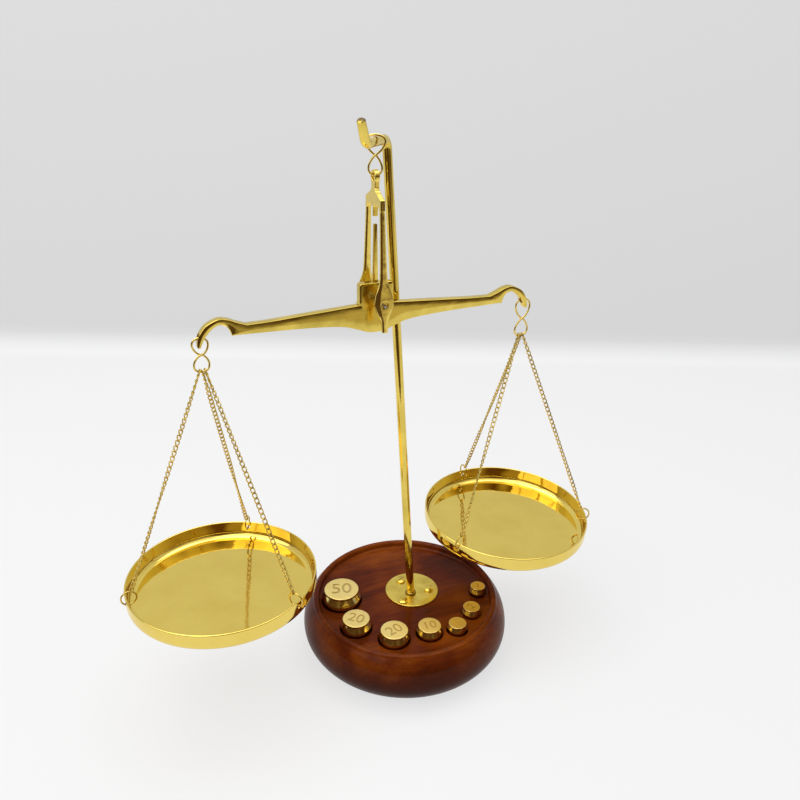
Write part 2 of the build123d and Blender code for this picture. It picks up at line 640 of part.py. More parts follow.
def beam():
    """Cast beam with swan-neck ends: flat faces, bevelled edges, a tall hub."""
    right, low_count = beam_outline()
    outline = right + [(-x, z) for x, z in reversed(right[1:])]
    insets = [BEAM_BEVEL] * len(outline)
    for k in range(low_count - 1):
        insets[k] = BEAM_LOWER_BEVEL
        insets[-1 - k] = BEAM_LOWER_BEVEL
    body = bevelled_plate(outline, insets, BEAM_BEVEL_DEPTH, BEAM_THICKNESS)
    body -= Pos(0, 0, PIVOT_HEIGHT) * knife_prism(2 * BEAM_THICKNESS, 0)
    for side in (-1, 1):
        bore = Cylinder(NECK_HOLE_RADIUS, NECK_HOLE_LENGTH)
        centre = Pos(side * (BEAM_ARM - NECK_HOLE_INSET), 0, NECK_HOLE_HEIGHT)
        body -= centre * Rot(0, side * (90 - NECK_HOLE_ANGLE), 0) * bore
    slot = extrude(Plane.XZ * make_face(pointer_outline(HUB_TOP - POINTER_SEAT, 0)), POINTER_THICKNESS / 2, both=True)
    body -= slot
    return Pos(PIVOT_X, PIVOT_Y, 0) * body


def knife_edge():
    """Steel knife edge pressed through the hub, long enough to stand in both eyes."""
    length = 2 * (FORK_EYE_SPREAD + LEG_THICKNESS / 2 + KNIFE_OVERHANG)
    return Pos(PIVOT_X, PIVOT_Y, PIVOT_HEIGHT) * knife_prism(length, 0)


def pointer():
    """Tapered flat needle, let into the top of the hub."""
    face = make_face(pointer_outline(HUB_TOP - POINTER_SEAT, 0))
    return Pos(PIVOT_X, PIVOT_Y, 0) * extrude(Plane.XZ * face, POINTER_THICKNESS / 2, both=True)


# Pans, rings and chains

class Side:
    """Where one pan, its rings and its chains hang."""

    def __init__(self, name, side, height, tilt, angles, hanger):
        self.name = name
        self.centre = Vector(PIVOT_X + side * BEAM_ARM, PIVOT_Y, height)
        self.tilt = Rot(tilt[0], tilt[1], 0)
        self.angles = angles
        self.crossing, self.hanger_bottom, self.hanger_width = hanger
        self.side = side

    def place(self, shape):
        return Pos(*self.centre) * self.tilt * shape

    def point(self, radius, angle, drop):
        """Point of the pan, in the part's frame."""
        local = Pos(radius * cos(radians(angle)), radius * sin(radians(angle)), -drop)
        return (Pos(*self.centre) * self.tilt * local).position

    def top(self, index):
        """Where a chain's first link hangs on the hanger's lower loop."""
        order = sorted(range(3), key=lambda k: cos(radians(self.angles[k])))
        shift = (order.index(index) - 1) * CHAIN_SPREAD
        low = self.hanger_bottom
        half_across = (self.hanger_width - LINK_WIRE) / 2
        half_along = (self.crossing - CROSSING_LAP / 2 - low) / 2
        rise = half_along * (1 - sqrt(1 - (shift / half_across) ** 2))
        return Vector(self.centre.X + shift, self.centre.Y, low + rise)

    def hole(self, index):
        return self.point(PAN_RADIUS - PAN_SHEET / 2, self.angles[index], PAN_HOLE_DROP)

    def line(self, index):
        """Straight line of a chain: unit vector from the hole in the rim to the hanger."""
        return (self.top(index) - self.hole(index)).normalized()


SIDES = (
    Side("left", -1, LEFT_PAN_HEIGHT, LEFT_PAN_TILT, LEFT_RING_ANGLES,
         (LEFT_HANGER_CROSSING, LEFT_HANGER_BOTTOM, LEFT_HANGER_WIDTH)),
    Side("right", 1, RIGHT_PAN_HEIGHT, RIGHT_PAN_TILT, RIGHT_RING_ANGLES,
         (RIGHT_HANGER_CROSSING, RIGHT_HANGER_BOTTOM, RIGHT_HANGER_WIDTH)),
)


def pan(side):
    """Shallow pressed pan with a rounded corner and three holes under its rim."""
    def bowl(radius, depth, corner, top):
        turn = corner * (1 - cos(pi / 4))
        points = arc_points(
            (radius, corner - depth), (radius - turn, turn - depth), (radius - corner, -depth), 4)
        outline = Polyline((0, top), (radius, top), *points, (0, -depth), close=True)
        return revolve(Plane.XZ * make_face(outline), Axis.Z)

    outer = bowl(PAN_RADIUS, PAN_DEPTH, PAN_CORNER, 0)
    inner = bowl(PAN_RADIUS - PAN_SHEET, PAN_DEPTH - PAN_SHEET, PAN_CORNER - PAN_SHEET, 1)
    body = outer - inner
    for angle in side.angles:
        bore = Pos(PAN_RADIUS, 0, -PAN_HOLE_DROP) * Rot(0, 90, 0) * Cylinder(PAN_HOLE_RADIUS, PAN_HOLE_LENGTH)
        body -= Rot(0, 0, angle) * bore
    return side.place(body)


def rim_ring(side, index):
    """Wire ring through a hole under the rim, drawn up in line with its chain."""
    along = side.line(index)
    angle = radians(side.angles[index])
    outward = Vector(cos(angle), sin(angle), 0)
    across = (outward - along * outward.dot(along)).normalized()
    normal = across.cross(along)
    centre = side.hole(index) + along * RIM_RING_RADIUS
    points = oval_points(centre, across, along, RIM_RING_RADIUS, RIM_RING_RADIUS, 12)
    return faceted_wire(points, normal, section_corners(RIM_RING_WIRE / 2, 4, pi / 4))


def chain(side, index):
    """Straight taut chain of separate links, each turned a quarter to the next."""
    along = side.line(index)
    angle = radians(side.angles[index])
    outward = Vector(cos(angle), sin(angle), 0)
    low = side.hole(index) + along * (2 * RIM_RING_RADIUS)
    high = side.top(index)
    half_wire = CHAIN_WIRE / 2
    inner = CHAIN_PITCH + CHAIN_PLAY
    first = low - along * (RIM_RING_WIRE / 2 + CHAIN_PLAY) + along * (inner / 2)
    last = high + along * (LINK_WIRE / 2 + CHAIN_TOP_PLAY) - along * (inner / 2)
    count = 1 + round((last - first).length / CHAIN_PITCH)
    step = (last - first).length / (count - 1)
    ring_wire = (outward - along * outward.dot(along)).normalized()
    loop_wire = (Vector(1, 0, 0) - along * along.X).normalized()
    beside = along.cross(ring_wire)
    end_turn = atan2(loop_wire.dot(beside), loop_wire.dot(ring_wire))
    quarters = (count - 1) * pi / 2
    turns = round((quarters - end_turn) / pi)
    total = end_turn + turns * pi
    half_length = (inner + CHAIN_WIRE) / 2
    half_width = (CHAIN_LINK_WIDTH - CHAIN_WIRE) / 2
    corners = section_corners(half_wire, 3, pi)
    links = []
    for k in range(count):
        turn = total * k / (count - 1)
        normal = ring_wire * cos(turn) + beside * sin(turn)
        across = along.cross(normal)
        centre = first + along * (step * k)
        outline = (
            (half_width, 0.0), (half_width * 0.55, half_length), (-half_width * 0.55, half_length),
            (-half_width, 0.0), (-half_width * 0.55, -half_length), (half_width * 0.55, -half_length),
        )
        points = [centre + across * u + along * w for u, w in outline]
        links.append(faceted_wire(points, across.cross(along), corners))
    return links


def main():
    os.makedirs("parts", exist_ok=True)
    save(wooden_base(), "wooden_base")
    save(flange_plate(), "flange_plate")
    screws = []
    for k, place in enumerate(SCREW_PLACES):
        screws.append(flange_screw(place, SCREW_FIRST_TURN + SCREW_TURN_STEP * k))
    save(screws, "flange_screws")
    save(rod_collar(), "rod_collar")
    save(hooked_rod(), "hooked_rod")
    save(hook_link(), "hook_link")
    save(fork(), "fork")
    save(beam(), "beam")
    save(knife_edge(), "knife_edge")
    save(pointer(), "pointer")
    for side in SIDES:
        save(pan_hanger(side.side, side.crossing, side.hanger_bottom, side.hanger_width), f"{side.name}_hanger")
        save(pan(side), f"{side.name}_pan")
        for index in range(3):
            save(rim_ring(side, index), f"{side.name}_rim_ring_{index + 1}")
            save(chain(side, index), f"{side.name}_chain_{index + 1}")
    for (name, mass, radius, height, to_wall, to_last), place in zip(WEIGHTS, weight_places()):
        save(weight(mass, radius, height, place), name)


main()
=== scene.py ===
"""Looks of a small brass balance: every piece is a surface worked out with numpy on its
CAD frame, finished with procedural brass, steel and varnished wood."""

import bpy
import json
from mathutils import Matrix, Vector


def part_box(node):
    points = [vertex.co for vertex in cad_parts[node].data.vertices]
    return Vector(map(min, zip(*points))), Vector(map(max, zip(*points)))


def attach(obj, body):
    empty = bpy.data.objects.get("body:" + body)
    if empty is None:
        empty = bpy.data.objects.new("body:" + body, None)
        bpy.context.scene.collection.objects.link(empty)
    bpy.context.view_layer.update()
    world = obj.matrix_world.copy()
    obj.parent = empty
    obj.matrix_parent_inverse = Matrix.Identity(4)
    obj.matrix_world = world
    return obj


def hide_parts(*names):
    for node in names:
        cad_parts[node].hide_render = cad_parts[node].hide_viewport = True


bl_info = {
    "name": "Brass Balance",
    "version": (1, 0, 0),
    "blender": (4, 5, 0),
    "location": "View3D > Sidebar > Balance",
    "description": "Builds a brass beam balance with its base, rod, fork, pans, chains and weights",
    "category": "Object",
}

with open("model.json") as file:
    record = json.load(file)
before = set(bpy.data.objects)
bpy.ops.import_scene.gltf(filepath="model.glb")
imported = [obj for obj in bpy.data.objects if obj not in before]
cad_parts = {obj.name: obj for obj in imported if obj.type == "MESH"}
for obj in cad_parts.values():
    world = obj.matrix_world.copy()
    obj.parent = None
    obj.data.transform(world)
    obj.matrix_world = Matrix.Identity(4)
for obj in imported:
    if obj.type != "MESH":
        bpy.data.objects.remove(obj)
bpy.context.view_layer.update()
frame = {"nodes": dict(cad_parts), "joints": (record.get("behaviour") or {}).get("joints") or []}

import json
from math import cos, pi, radians, sin, sqrt, tan

import bmesh
import bpy
import numpy as np
from bpy.props import FloatProperty, FloatVectorProperty, IntProperty, PointerProperty
from mathutils import Matrix, Vector

MM = 0.001
SIDES = ("left", "right")
JOINT = {joint["name"]: joint for joint in frame["joints"]}


def length(name, millimetres, description):
    """A size that a user may change, given in millimetres and kept in metres."""
    return FloatProperty(
        name=name, description=description, default=millimetres * MM, unit="LENGTH", precision=5
    )


def angle(name, degrees, description):
    """An angle that a user may change, given in degrees and kept in radians."""
    return FloatProperty(name=name, description=description, default=radians(degrees), subtype="ANGLE")


def share(name, value, description):
    """A plain number from 0 to 1."""
    return FloatProperty(name=name, description=description, default=value, min=0.0, max=1.0)


def tint(name, value, description):
    """A colour in linear light."""
    return FloatVectorProperty(name=name, description=description, default=value, size=3, subtype="COLOR")


def joint_point(name):
    """Where a joint of the frame turns, as an array in metres."""
    return np.array(JOINT[name]["pos_m"], float)


def box_of(node):
    """Lowest and highest corner of a node, as arrays."""
    low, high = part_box(node)
    return np.array(low), np.array(high)


def put(name, data):
    """A new object in the scene with that data."""
    thing = bpy.data.objects.new(name, data)
    bpy.context.scene.collection.objects.link(thing)
    return thing


class BaseSizes(bpy.types.PropertyGroup):
    """Turned wooden base."""

    swell: length("Widest height", 14.0, "Height of the widest ring of the side")
    lower_swell: length("Lower swell", 13.0, "Radius of the side's curve below the widest ring")
    upper_swell: length("Upper swell", 19.4, "Radius of the side's curve above the widest ring")
    foot: length("Foot height", 1.6, "Height of the short step above the table")
    foot_step: length("Foot step", 0.5, "How far the step is set in")
    rim_inner: length("Dish radius", 42.8, "Inner radius of the lip")
    rim_crest: length("Crest radius", 44.3, "Radius of the lip's top")
    outer_drop: length("Outer drop", 1.2, "Where the lip's round meets the side, below the crest")
    inner_drop: length("Inner drop", 1.0, "Where the lip's round meets the dish, below the crest")
    dish: length("Dish depth", 3.2, "Depth of the dish below the crest")
    cove: length("Cove", 1.2, "Radius in the dish's corner")
    socket_gap: length("Socket gap", 0.35, "Space round each weight")
    socket_round: length("Socket round", 0.55, "Worn round at each socket's mouth")
    light_wood: tint("Light wood", (0.360, 0.098, 0.006), "Colour between the dark streaks")
    dark_wood: tint("Dark wood", (0.050, 0.0085, 0.0012), "Colour of the dark streaks")


class StandSizes(bpy.types.PropertyGroup):
    """Flange, screws, collar and hooked rod."""

    flange_edge: length("Flange edge", 0.35, "Round on the flange's upper edge")
    head_height: length("Head height", 1.25, "Height of a screw's head")
    head_radius: length("Head radius", 2.35, "Radius of a screw's head")
    head_side: share("Head side", 0.58, "Upright edge, of the height of a screw's head")
    slot_width: length("Slot width", 0.55, "Width of a screw's slot")
    screw_inset_near: length("Screw inset", 4.7, "Two screws, in from the flange's edge")
    screw_inset_far: length("Front screw inset", 2.7, "The front screw, in from the flange's edge")
    rod_radius: length("Rod radius", 1.9, "Radius of the rod")
    foot_x: length("Foot X", 3.5, "Where the rod leaves the flange")
    foot_y: length("Foot Y", 0.8, "Where the rod leaves the flange")
    lean_x: FloatProperty(name="Lean X", description="Lean along X, per height", default=-0.0577)
    lean_y: FloatProperty(name="Lean Y", description="Lean along Y, per height", default=0.0268)
    hook_height: length("Hook height", 243.3, "Height of the level run")
    hook_reach: length("Hook reach", 23.0, "Length of the level run")
    hook_bend: length("Hook bend", 4.0, "Radius of both bends")
    hook_rise: length("Hook rise", 8.6, "Height of the hook's tip above the run")
    hook_opening: angle("Hook opening", 30.0, "Lean of the tip away from the rod")
    tip_taper: share("Tip taper", 0.14, "How much the hook narrows towards its tip")
    tip_length: length("Tip length", 6.0, "Length over which it narrows")
    tip_round: length("Tip round", 0.35, "Round on the sawn end's edge")
    sawn_end: length("Sawn end", 1.2, "Height of the dark sawn end")
    collar_radius: length("Collar radius", 2.8, "Radius of the bead at the rod's foot")
    collar_height: length("Collar height", 1.3, "Height of the bead")


class WireSizes(bpy.types.PropertyGroup):
    """Wire links and rings."""

    wire: length("Wire", 0.84, "Thickness of the figure-eight wires")
    hook_link_turn: angle("Hook link turn", -24.0, "Plane of the upper link, round the upright")
    hook_link_crossing: length("Hook link crossing", 238.4, "Height where its strands cross")
    hook_link_upper: length("Hook link upper loop", 8.5, "Width of its upper loop")
    hook_link_lower: length("Hook link lower loop", 6.0, "Width of its lower loop")
    hook_link_full: share("Hook link fullness", 0.80, "Roundness of its loops, less is rounder")
    left_crossing: length("Left crossing", 168.2, "Height where the left hanger's strands cross")
    left_full: share("Left fullness", 0.58, "Roundness of the left hanger's loops, less is rounder")
    right_crossing: length("Right crossing", 166.0, "Height where the right hanger's strands cross")
    right_full: share("Right fullness", 0.70, "Roundness of the right hanger's loops, less is rounder")
    ring_radius: length("Ring radius", 3.15, "Radius of a rim ring, to the middle of its wire")
    ring_wire: length("Ring wire", 0.7, "Thickness of a rim ring's wire")
    ring_gap: length("Ring gap", 0.12, "Butt joint where the wire's ends meet")


class ForkSizes(bpy.types.PropertyGroup):
    """Cast fork."""

    foot: length("Foot", 171.5, "Height of the tails")
    shoulder: length("Shoulder", 220.2, "Height of the slot's top")
    shoulder_depth: length("Shoulder depth", 2.6, "Thickness of the bridge at its ends")
    tab_hole: length("Tab hole height", 230.7, "Height of the hole in the tab")
    tab_radius: length("Tab radius", 2.6, "Round end of the tab")
    tab_hole_radius: length("Tab hole", 1.45, "Radius of the hole in the tab")
    tab_thickness: length("Tab thickness", 2.0, "Thickness of the tab")
    top_spread: length("Top spread", 7.0, "Legs from the middle, at the slot's top")
    eye_spread: length("Eye spread", 9.5, "Legs from the middle, at the eyes")
    eye: length("Eye height", 182.4, "Height of the eyes")
    eye_radius: length("Eye radius", 1.45, "Radius of the eyes")
    eye_rise: length("Eye rise", 0.3, "Middle of the worn eyes above that height")
    leg: length("Leg thickness", 1.9, "Thickness of a leg along its ridge")
    leg_edge: length("Leg edge", 1.0, "Thickness of a leg at its edges")
    tongue: length("Tongue", 4.4, "Length of the index tongue")
    grain: length("Casting grain", 0.16, "Finest step of the cast surface")


class BeamSizes(bpy.types.PropertyGroup):
    """Cast beam, knife edge and pointer."""

    thickness: length("Beam thickness", 4.2, "Front to back")
    bevel: length("Bevel", 0.45, "Bevel along the upper edges")
    lower_bevel: length("Lower bevel", 1.2, "Bevel along the lower edges")
    crown: length("Crown", 0.35, "How far the filed faces fall towards their edges")
    crown_width: length("Crown width", 4.0, "Width over which they fall")
    hub_half: length("Hub half width", 7.3, "Half width of the hub")
    hub_top: length("Hub top", 189.8, "Height of the hub's top")
    hub_corner: length("Hub corner", 1.2, "Round of the hub's upper corners")
    hole_radius: length("End hole", 1.4, "Radius of the hole at each end")
    hole_inset: length("Hole inset", 0.45, "Hole in from the hanger's pivot")
    hole_angle: angle("Hole angle", 30.0, "Rise of the hole's axis")
    pointer_low: length("Pointer foot", 2.4, "Width of the pointer at the hub")
    pointer_high: length("Pointer tip", 1.5, "Width of the pointer at its tip")
    pointer_slope: length("Pointer slope", 0.4, "Height of the cut corners at the tip")
    pointer_edge: length("Pointer edge", 0.12, "Bevel on the pointer's edges")


class PanSizes(bpy.types.PropertyGroup):
    """Pans."""

    radius: length("Pan radius", 40.5, "Outer radius")
    depth: length("Pan depth", 8.5, "Outer depth")
    corner: length("Pan corner", 3.8, "Outer radius between wall and floor")
    sheet: length("Pan sheet", 0.8, "Thickness of the sheet")
    hole_drop: length("Hole drop", 2.6, "Holes below the rim")
    hole_radius: length("Hole radius", 0.9, "Radius of the holes")
    left_height: length("Left pan height", 67.75, "Height of the left rim")
    right_height: length("Right pan height", 65.5, "Height of the right rim")
    left_tilt_x: angle("Left tilt X", -0.8, "Turn of the left pan about X")
    left_tilt_y: angle("Left tilt Y", -0.2, "Turn of the left pan about Y")
    right_tilt_x: angle("Right tilt X", 2.8, "Turn of the right pan about X")
    right_tilt_y: angle("Right tilt Y", 1.6, "Turn of the right pan about Y")


class ChainSizes(bpy.types.PropertyGroup):
    """Curb chains."""

    pitch: length("Pitch", 2.3, "Length that each link adds")
    wire: length("Chain wire", 0.56, "Thickness of the wire")
    width: length("Link width", 2.2, "Width of a link")
    play: length("Play", 0.06, "Play of a link on its neighbour")
    top_play: length("Top play", 0.24, "Play of the top link on the hanger")
    spread: length("Spread", 1.15, "Step between the top links along the hanger's wire")
    curb: angle("Curb twist", 45.0, "Twist of a link from its middle to each end")
    wave: angle("Wave", 25.0, "How far the links turn to and fro along the chain")
    waves: FloatProperty(name="Waves", description="How often they do so along one chain", default=1.5)
    eased: IntProperty(name="Eased links", description="Links at each end that ease round", default=7)
    ease_low: angle("Lower ease", 69.0, "Extra turn of the link on the rim ring")
    ease_high: angle("Upper ease", -61.0, "Extra turn of the link on the hanger")
    points: IntProperty(name="Link points", description="Points along a link's wire", default=12)
    sides: IntProperty(name="Wire sides", description="Sides of a link's wire", default=5)


class WeightSizes(bpy.types.PropertyGroup):
    """Turned weights."""

    cap_share: share("Cap", 0.88, "Cap radius, of the largest radius")
    neck_share: share("Neck", 0.77, "Neck radius, of the largest radius")
    cap_height: share("Cap height", 0.18, "Cap thickness, of the height above the dish")
    neck_height: share("Neck height", 0.10, "Groove, of the height above the dish")
    bevel_height: share("Bevel height", 0.37, "Bevel, of the height above the dish")
    flange_height: share("Flange height", 0.04, "Upright edge under the bevel, of the height above the dish")
    stem_inset: length("Stem inset", 0.35, "How far the stem is set in under the edge")
    edge: length("Edge round", 0.22, "Round on the cap's edge")
    mark_depth: length("Mark depth", 0.22, "Depth of the numbers")


class StageSizes(bpy.types.PropertyGroup):
    """Camera, floor and light."""

    lens: FloatProperty(name="Lens", description="Focal length on a 36 mm sensor", default=34.345)
    camera_at: FloatVectorProperty(
        name="Camera", description="Place of the camera in metres", default=(-0.13024, -0.27994, 0.27277)
    )
    camera_forward: FloatVectorProperty(
        name="Forward", description="Direction of view", default=(0.37338502, 0.83125742, -0.41181881)
    )
    camera_right: FloatVectorProperty(
        name="Right", description="Right of the view", default=(0.9149209, -0.4033396, 0.01539201)
    )
    wall_distance: length("Wall distance", 408.0, "Backdrop behind the object")
    cove: length("Cove", 26.0, "Curve between floor and backdrop")
    front: length("Front", 300.0, "How far the floor reaches in front of the object")
    pale: tint("Floor colour", (0.245, 0.245, 0.246), "Colour of the floor")
    grey: tint("Backdrop colour", (0.198, 0.199, 0.198), "Colour of the backdrop")
    glow: FloatProperty(
        name="Glow", description="How much brighter floor and backdrop are seen than lit", default=2.73
    )


def sizes(name):
    """The property group of that name on the scene."""
    return getattr(bpy.context.scene, "balance_" + name)


class Value:
    """A socket in an expression: arithmetic on it adds Math nodes."""

    def __init__(self, finish, socket):
        self.finish = finish
        self.socket = socket

    def maths(self, operation, *terms):
        """A Math node on these terms."""
        return self.finish.add("ShaderNodeMath", {"operation": operation}, dict(enumerate(terms)))

    def __add__(self, other):
        return self.maths("ADD", self, other)

    __radd__ = __add__

    def __sub__(self, other):
        return self.maths("SUBTRACT", self, other)

    def __rsub__(self, other):
        return self.maths("SUBTRACT", other, self)

    def __mul__(self, other):
        return self.maths("MULTIPLY", self, other)

    __rmul__ = __mul__

    def clamped(self):
        """Held between 0 and 1."""
        return self.maths("MAXIMUM", self.maths("MINIMUM", self, 1.0), 0.0)

    def above(self, edge, soft):
        """0 below an edge and 1 above it, with a soft step."""
        return ((self - edge) * (1.0 / soft) + 0.5).clamped()


class Finish:
    """A material or world under construction, with one method that adds any node."""

    def __init__(self, block):
        block.use_nodes = True
        self.block = block
        self.tree = block.node_tree
        self.tree.nodes.clear()

    def add(self, kind, settings=None, inputs=None, output=0):
        """Adds a node, sets it up, feeds its sockets and returns one of its outputs."""
        node = self.tree.nodes.new(kind)
        for key, value in (settings or {}).items():
            if key == "stops":
                ramp = node.color_ramp
                while len(ramp.elements) < len(value):
                    ramp.elements.new(0.5)
                for element, (place, colour) in zip(ramp.elements, value):
                    element.position = place
                    element.color = (*colour, 1.0)
            else:
                setattr(node, key, value)
        for key, value in (inputs or {}).items():
            socket = node.inputs[key]
            if isinstance(value, Value):
                self.tree.links.new(value.socket, socket)
            elif socket.type == "RGBA":
                socket.default_value = (*value, 1.0)
            else:
                socket.default_value = value
        return Value(self, node.outputs[output]) if len(node.outputs) else None

    def mix(self, factor, first, second):
        """Mixes two colours. The Mix node's colour sockets share their names, so they are
        numbered: 6 and 7 go in and 2 comes out."""
        return self.add("ShaderNodeMix", {"data_type": "RGBA"}, {0: factor, 6: first, 7: second}, 2)

    def coords(self, turn=(0, 0, 0), scale=(1, 1, 1)):
        """Object coordinates, turned and stretched on the piece."""
        plain = self.add("ShaderNodeTexCoord", output="Object")
        inputs = {"Vector": plain, "Rotation": turn, "Scale": scale}
        return self.add("ShaderNodeMapping", {"vector_type": "POINT"}, inputs)

    def part(self, vector, axis):
        """One of the three numbers of a vector: X, Y or Z."""
        return self.add("ShaderNodeSeparateXYZ", None, {0: vector}, axis)

    def noise(self, coords, size, detail=4.0, roughness=0.55, distortion=0.0):
        """Noise with features of about that size in metres, from 0 to 1."""
        inputs = {"Vector": coords, "Scale": 1.0 / size, "Detail": detail, "Roughness": roughness}
        inputs["Distortion"] = distortion
        return self.add("ShaderNodeTexNoise", {"noise_dimensions": "3D"}, inputs)

    def bump(self, height, depth, normal=None):
        """Normal of a surface raised by height times depth in metres."""
        inputs = {"Height": height, "Distance": depth, "Strength": 1.0}
        if normal is not None:
            inputs["Normal"] = normal
        return self.add("ShaderNodeBump", None, inputs)

    def close(self, inputs):
        """Ends the material in a Principled shader."""
        shader = self.add("ShaderNodeBsdfPrincipled", None, inputs)
        self.add("ShaderNodeOutputMaterial", None, {"Surface": shader})
        return self.block

    def metal(self, colour, roughness, normal):
        """Ends the material as bare metal."""
        return self.close({"Base Color": colour, "Metallic": 1.0, "Roughness": roughness, "Normal": normal})


def blank(name):
    """A new material of that name, with nothing in it."""
    return Finish(bpy.data.materials.new(name))


def brass(
    name, tone, dull, rough, patch, scratch, dent=(0.004, 0.0), stretch=(1, 1, 1), tarnish=0.5, cut=None
):
    """Brass: tone where it is clean and dull where it has darkened, rough from clean to
    dull, patches and scratches of the given sizes, and dents of a size and a depth that
    bend its reflections. Above the height of cut it is dark, as on a sawn end."""
    finish = blank(name)
    flat = finish.coords()
    drawn = finish.coords(scale=stretch)
    patches = finish.noise(flat, patch, 5.0, 0.6).above(1.0 - tarnish, 0.35)
    lines = finish.noise(drawn, scratch, 3.0, 0.6)
    fine = finish.noise(flat, scratch * 0.6, 2.0)
    colour = finish.mix(patches * 0.8, tone, dull)
    if cut is not None:
        colour = finish.mix(finish.part(flat, "Z").above(cut, 0.0005), colour, SAWN)
    low, high = rough
    roughness = (patches * (high - low) + low + (lines - 0.5) * (high * 0.5)).clamped()
    normal = finish.bump(finish.noise(flat, dent[0], 1.0), dent[1])
    normal = finish.bump(lines * 0.7 + fine * 0.3, 0.00001 + high * 0.00004, normal)
    return finish.metal(colour, roughness, normal)


PALE = (0.860, 0.660, 0.155)
YELLOW = (0.840, 0.640, 0.135)
GOLD = (0.820, 0.640, 0.190)
WORN = (0.780, 0.580, 0.120)
TURNED = (0.760, 0.570, 0.110)
OLIVE = (0.520, 0.380, 0.060)
DEEP = (0.500, 0.350, 0.060)
BROWN = (0.300, 0.180, 0.030)
SAWN = (0.100, 0.065, 0.020)


def rod_brass():
    """Polished rod with long drawn scratches and a dark sawn end."""
    cut = box_of("hooked_rod")[1][2] - sizes("stand").sawn_end
    dent, stretch = (0.012, 0.00006), (1, 1, 0.06)
    return brass("rod_brass", YELLOW, OLIVE, (0.07, 0.17), 0.022, 0.0012, dent, stretch, 0.42, cut)


def collar_brass():
    """Darkened bead that polish does not reach."""
    return brass("collar_brass", OLIVE, BROWN, (0.12, 0.22), 0.002, 0.0006, tarnish=0.7)


def beam_brass():
    """Cast and filed along the beam, polished, a little uneven."""
    return brass("beam_brass", YELLOW, OLIVE, (0.10, 0.24), 0.016, 0.0010, (0.007, 0.00016), (0.1, 1, 1))


def fork_brass():
    """Rough cast surface, filed down the legs."""
    dent, stretch = (0.004, 0.00014), (1, 1, 0.25)
    return brass("fork_brass", PALE, BROWN, (0.19, 0.32), 0.005, 0.0006, dent, stretch, 0.25)


def wire_brass():
    """Drawn wire of the figure-eight links."""
    return brass("wire_brass", GOLD, OLIVE, (0.14, 0.26), 0.004, 0.0006, (0.003, 0.00004), tarnish=0.4)


def chain_brass():
    """Fine wire of the chains and rim rings, darker in patches."""
    return brass("chain_brass", GOLD, DEEP, (0.14, 0.26), 0.007, 0.0005, tarnish=0.55)


def pan_brass():
    """Polished sheet with shallow waves from the press."""
    return brass("pan_brass", PALE, WORN, (0.03, 0.07), 0.020, 0.0009, (0.013, 0.00010), tarnish=0.45)


def flange_brass():
    """Satin plate, slightly tarnished."""
    return brass("flange_brass", YELLOW, OLIVE, (0.22, 0.34), 0.007, 0.0006, (0.006, 0.00020))


def screw_brass():
    """Worn screw heads."""
    return brass("screw_brass", TURNED, BROWN, (0.20, 0.30), 0.003, 0.0005, tarnish=0.35)


def needle_brass():
    """Satin sheet, rubbed along the needle."""
    dent, stretch = (0.004, 0.00003), (1, 1, 0.1)
    return brass("needle_brass", YELLOW, OLIVE, (0.16, 0.30), 0.008, 0.0005, dent, stretch, 0.45)


def weight_brass(top, depth, age):
    """Turned brass: satin, lightly scratched top, smoother bevels and dirt in the numbers,
    which reach that depth below the top. Age deepens its colour."""
    finish = blank("weight_brass")
    flat = finish.coords()
    normal = finish.add("ShaderNodeNewGeometry", output="Normal")
    upward = finish.part(normal, "Z").above(0.93, 0.08)
    height = finish.part(flat, "Z")
    soft = depth * 0.5
    sunk = (1.0 - height.above(top - depth * 0.35, soft)) * height.above(top - depth * 2, soft)
    patches = finish.noise(flat, 0.006, 5.0, 0.65).above(0.52, 0.4)
    rubbed = finish.noise(flat, 0.0011, 5.0, 0.75)
    clean, shaded, bright = (0.86, 0.67, 0.22), (0.60, 0.40, 0.07), (0.92, 0.80, 0.42)
    deepened, dirt = (0.62, 0.36, 0.035), (0.22, 0.12, 0.02)
    colour = finish.mix(patches * (upward * 0.25 + 0.30), clean, shaded)
    colour = finish.mix(upward * rubbed * 0.5, colour, bright)
    colour = finish.mix(upward * age, colour, deepened)
    colour = finish.mix(sunk * upward * 0.50, colour, dirt)
    roughness = (upward * (0.20 + rubbed * 0.18) + 0.08 + patches * 0.06).clamped()
    relief = finish.bump(rubbed * (upward * 0.9 + 0.1), 0.00007)
    return finish.metal(colour, roughness, relief)


def knife_steel():
    """Ground steel with fine lines along the edge."""
    finish = blank("knife_steel")
    lines = finish.noise(finish.coords(scale=(1, 0.05, 1)), 0.0003, 3.0)
    colour = finish.mix(lines, (0.34, 0.34, 0.35), (0.56, 0.56, 0.57))
    return finish.metal(colour, lines * 0.2 + 0.22, finish.bump(lines, 0.00001))


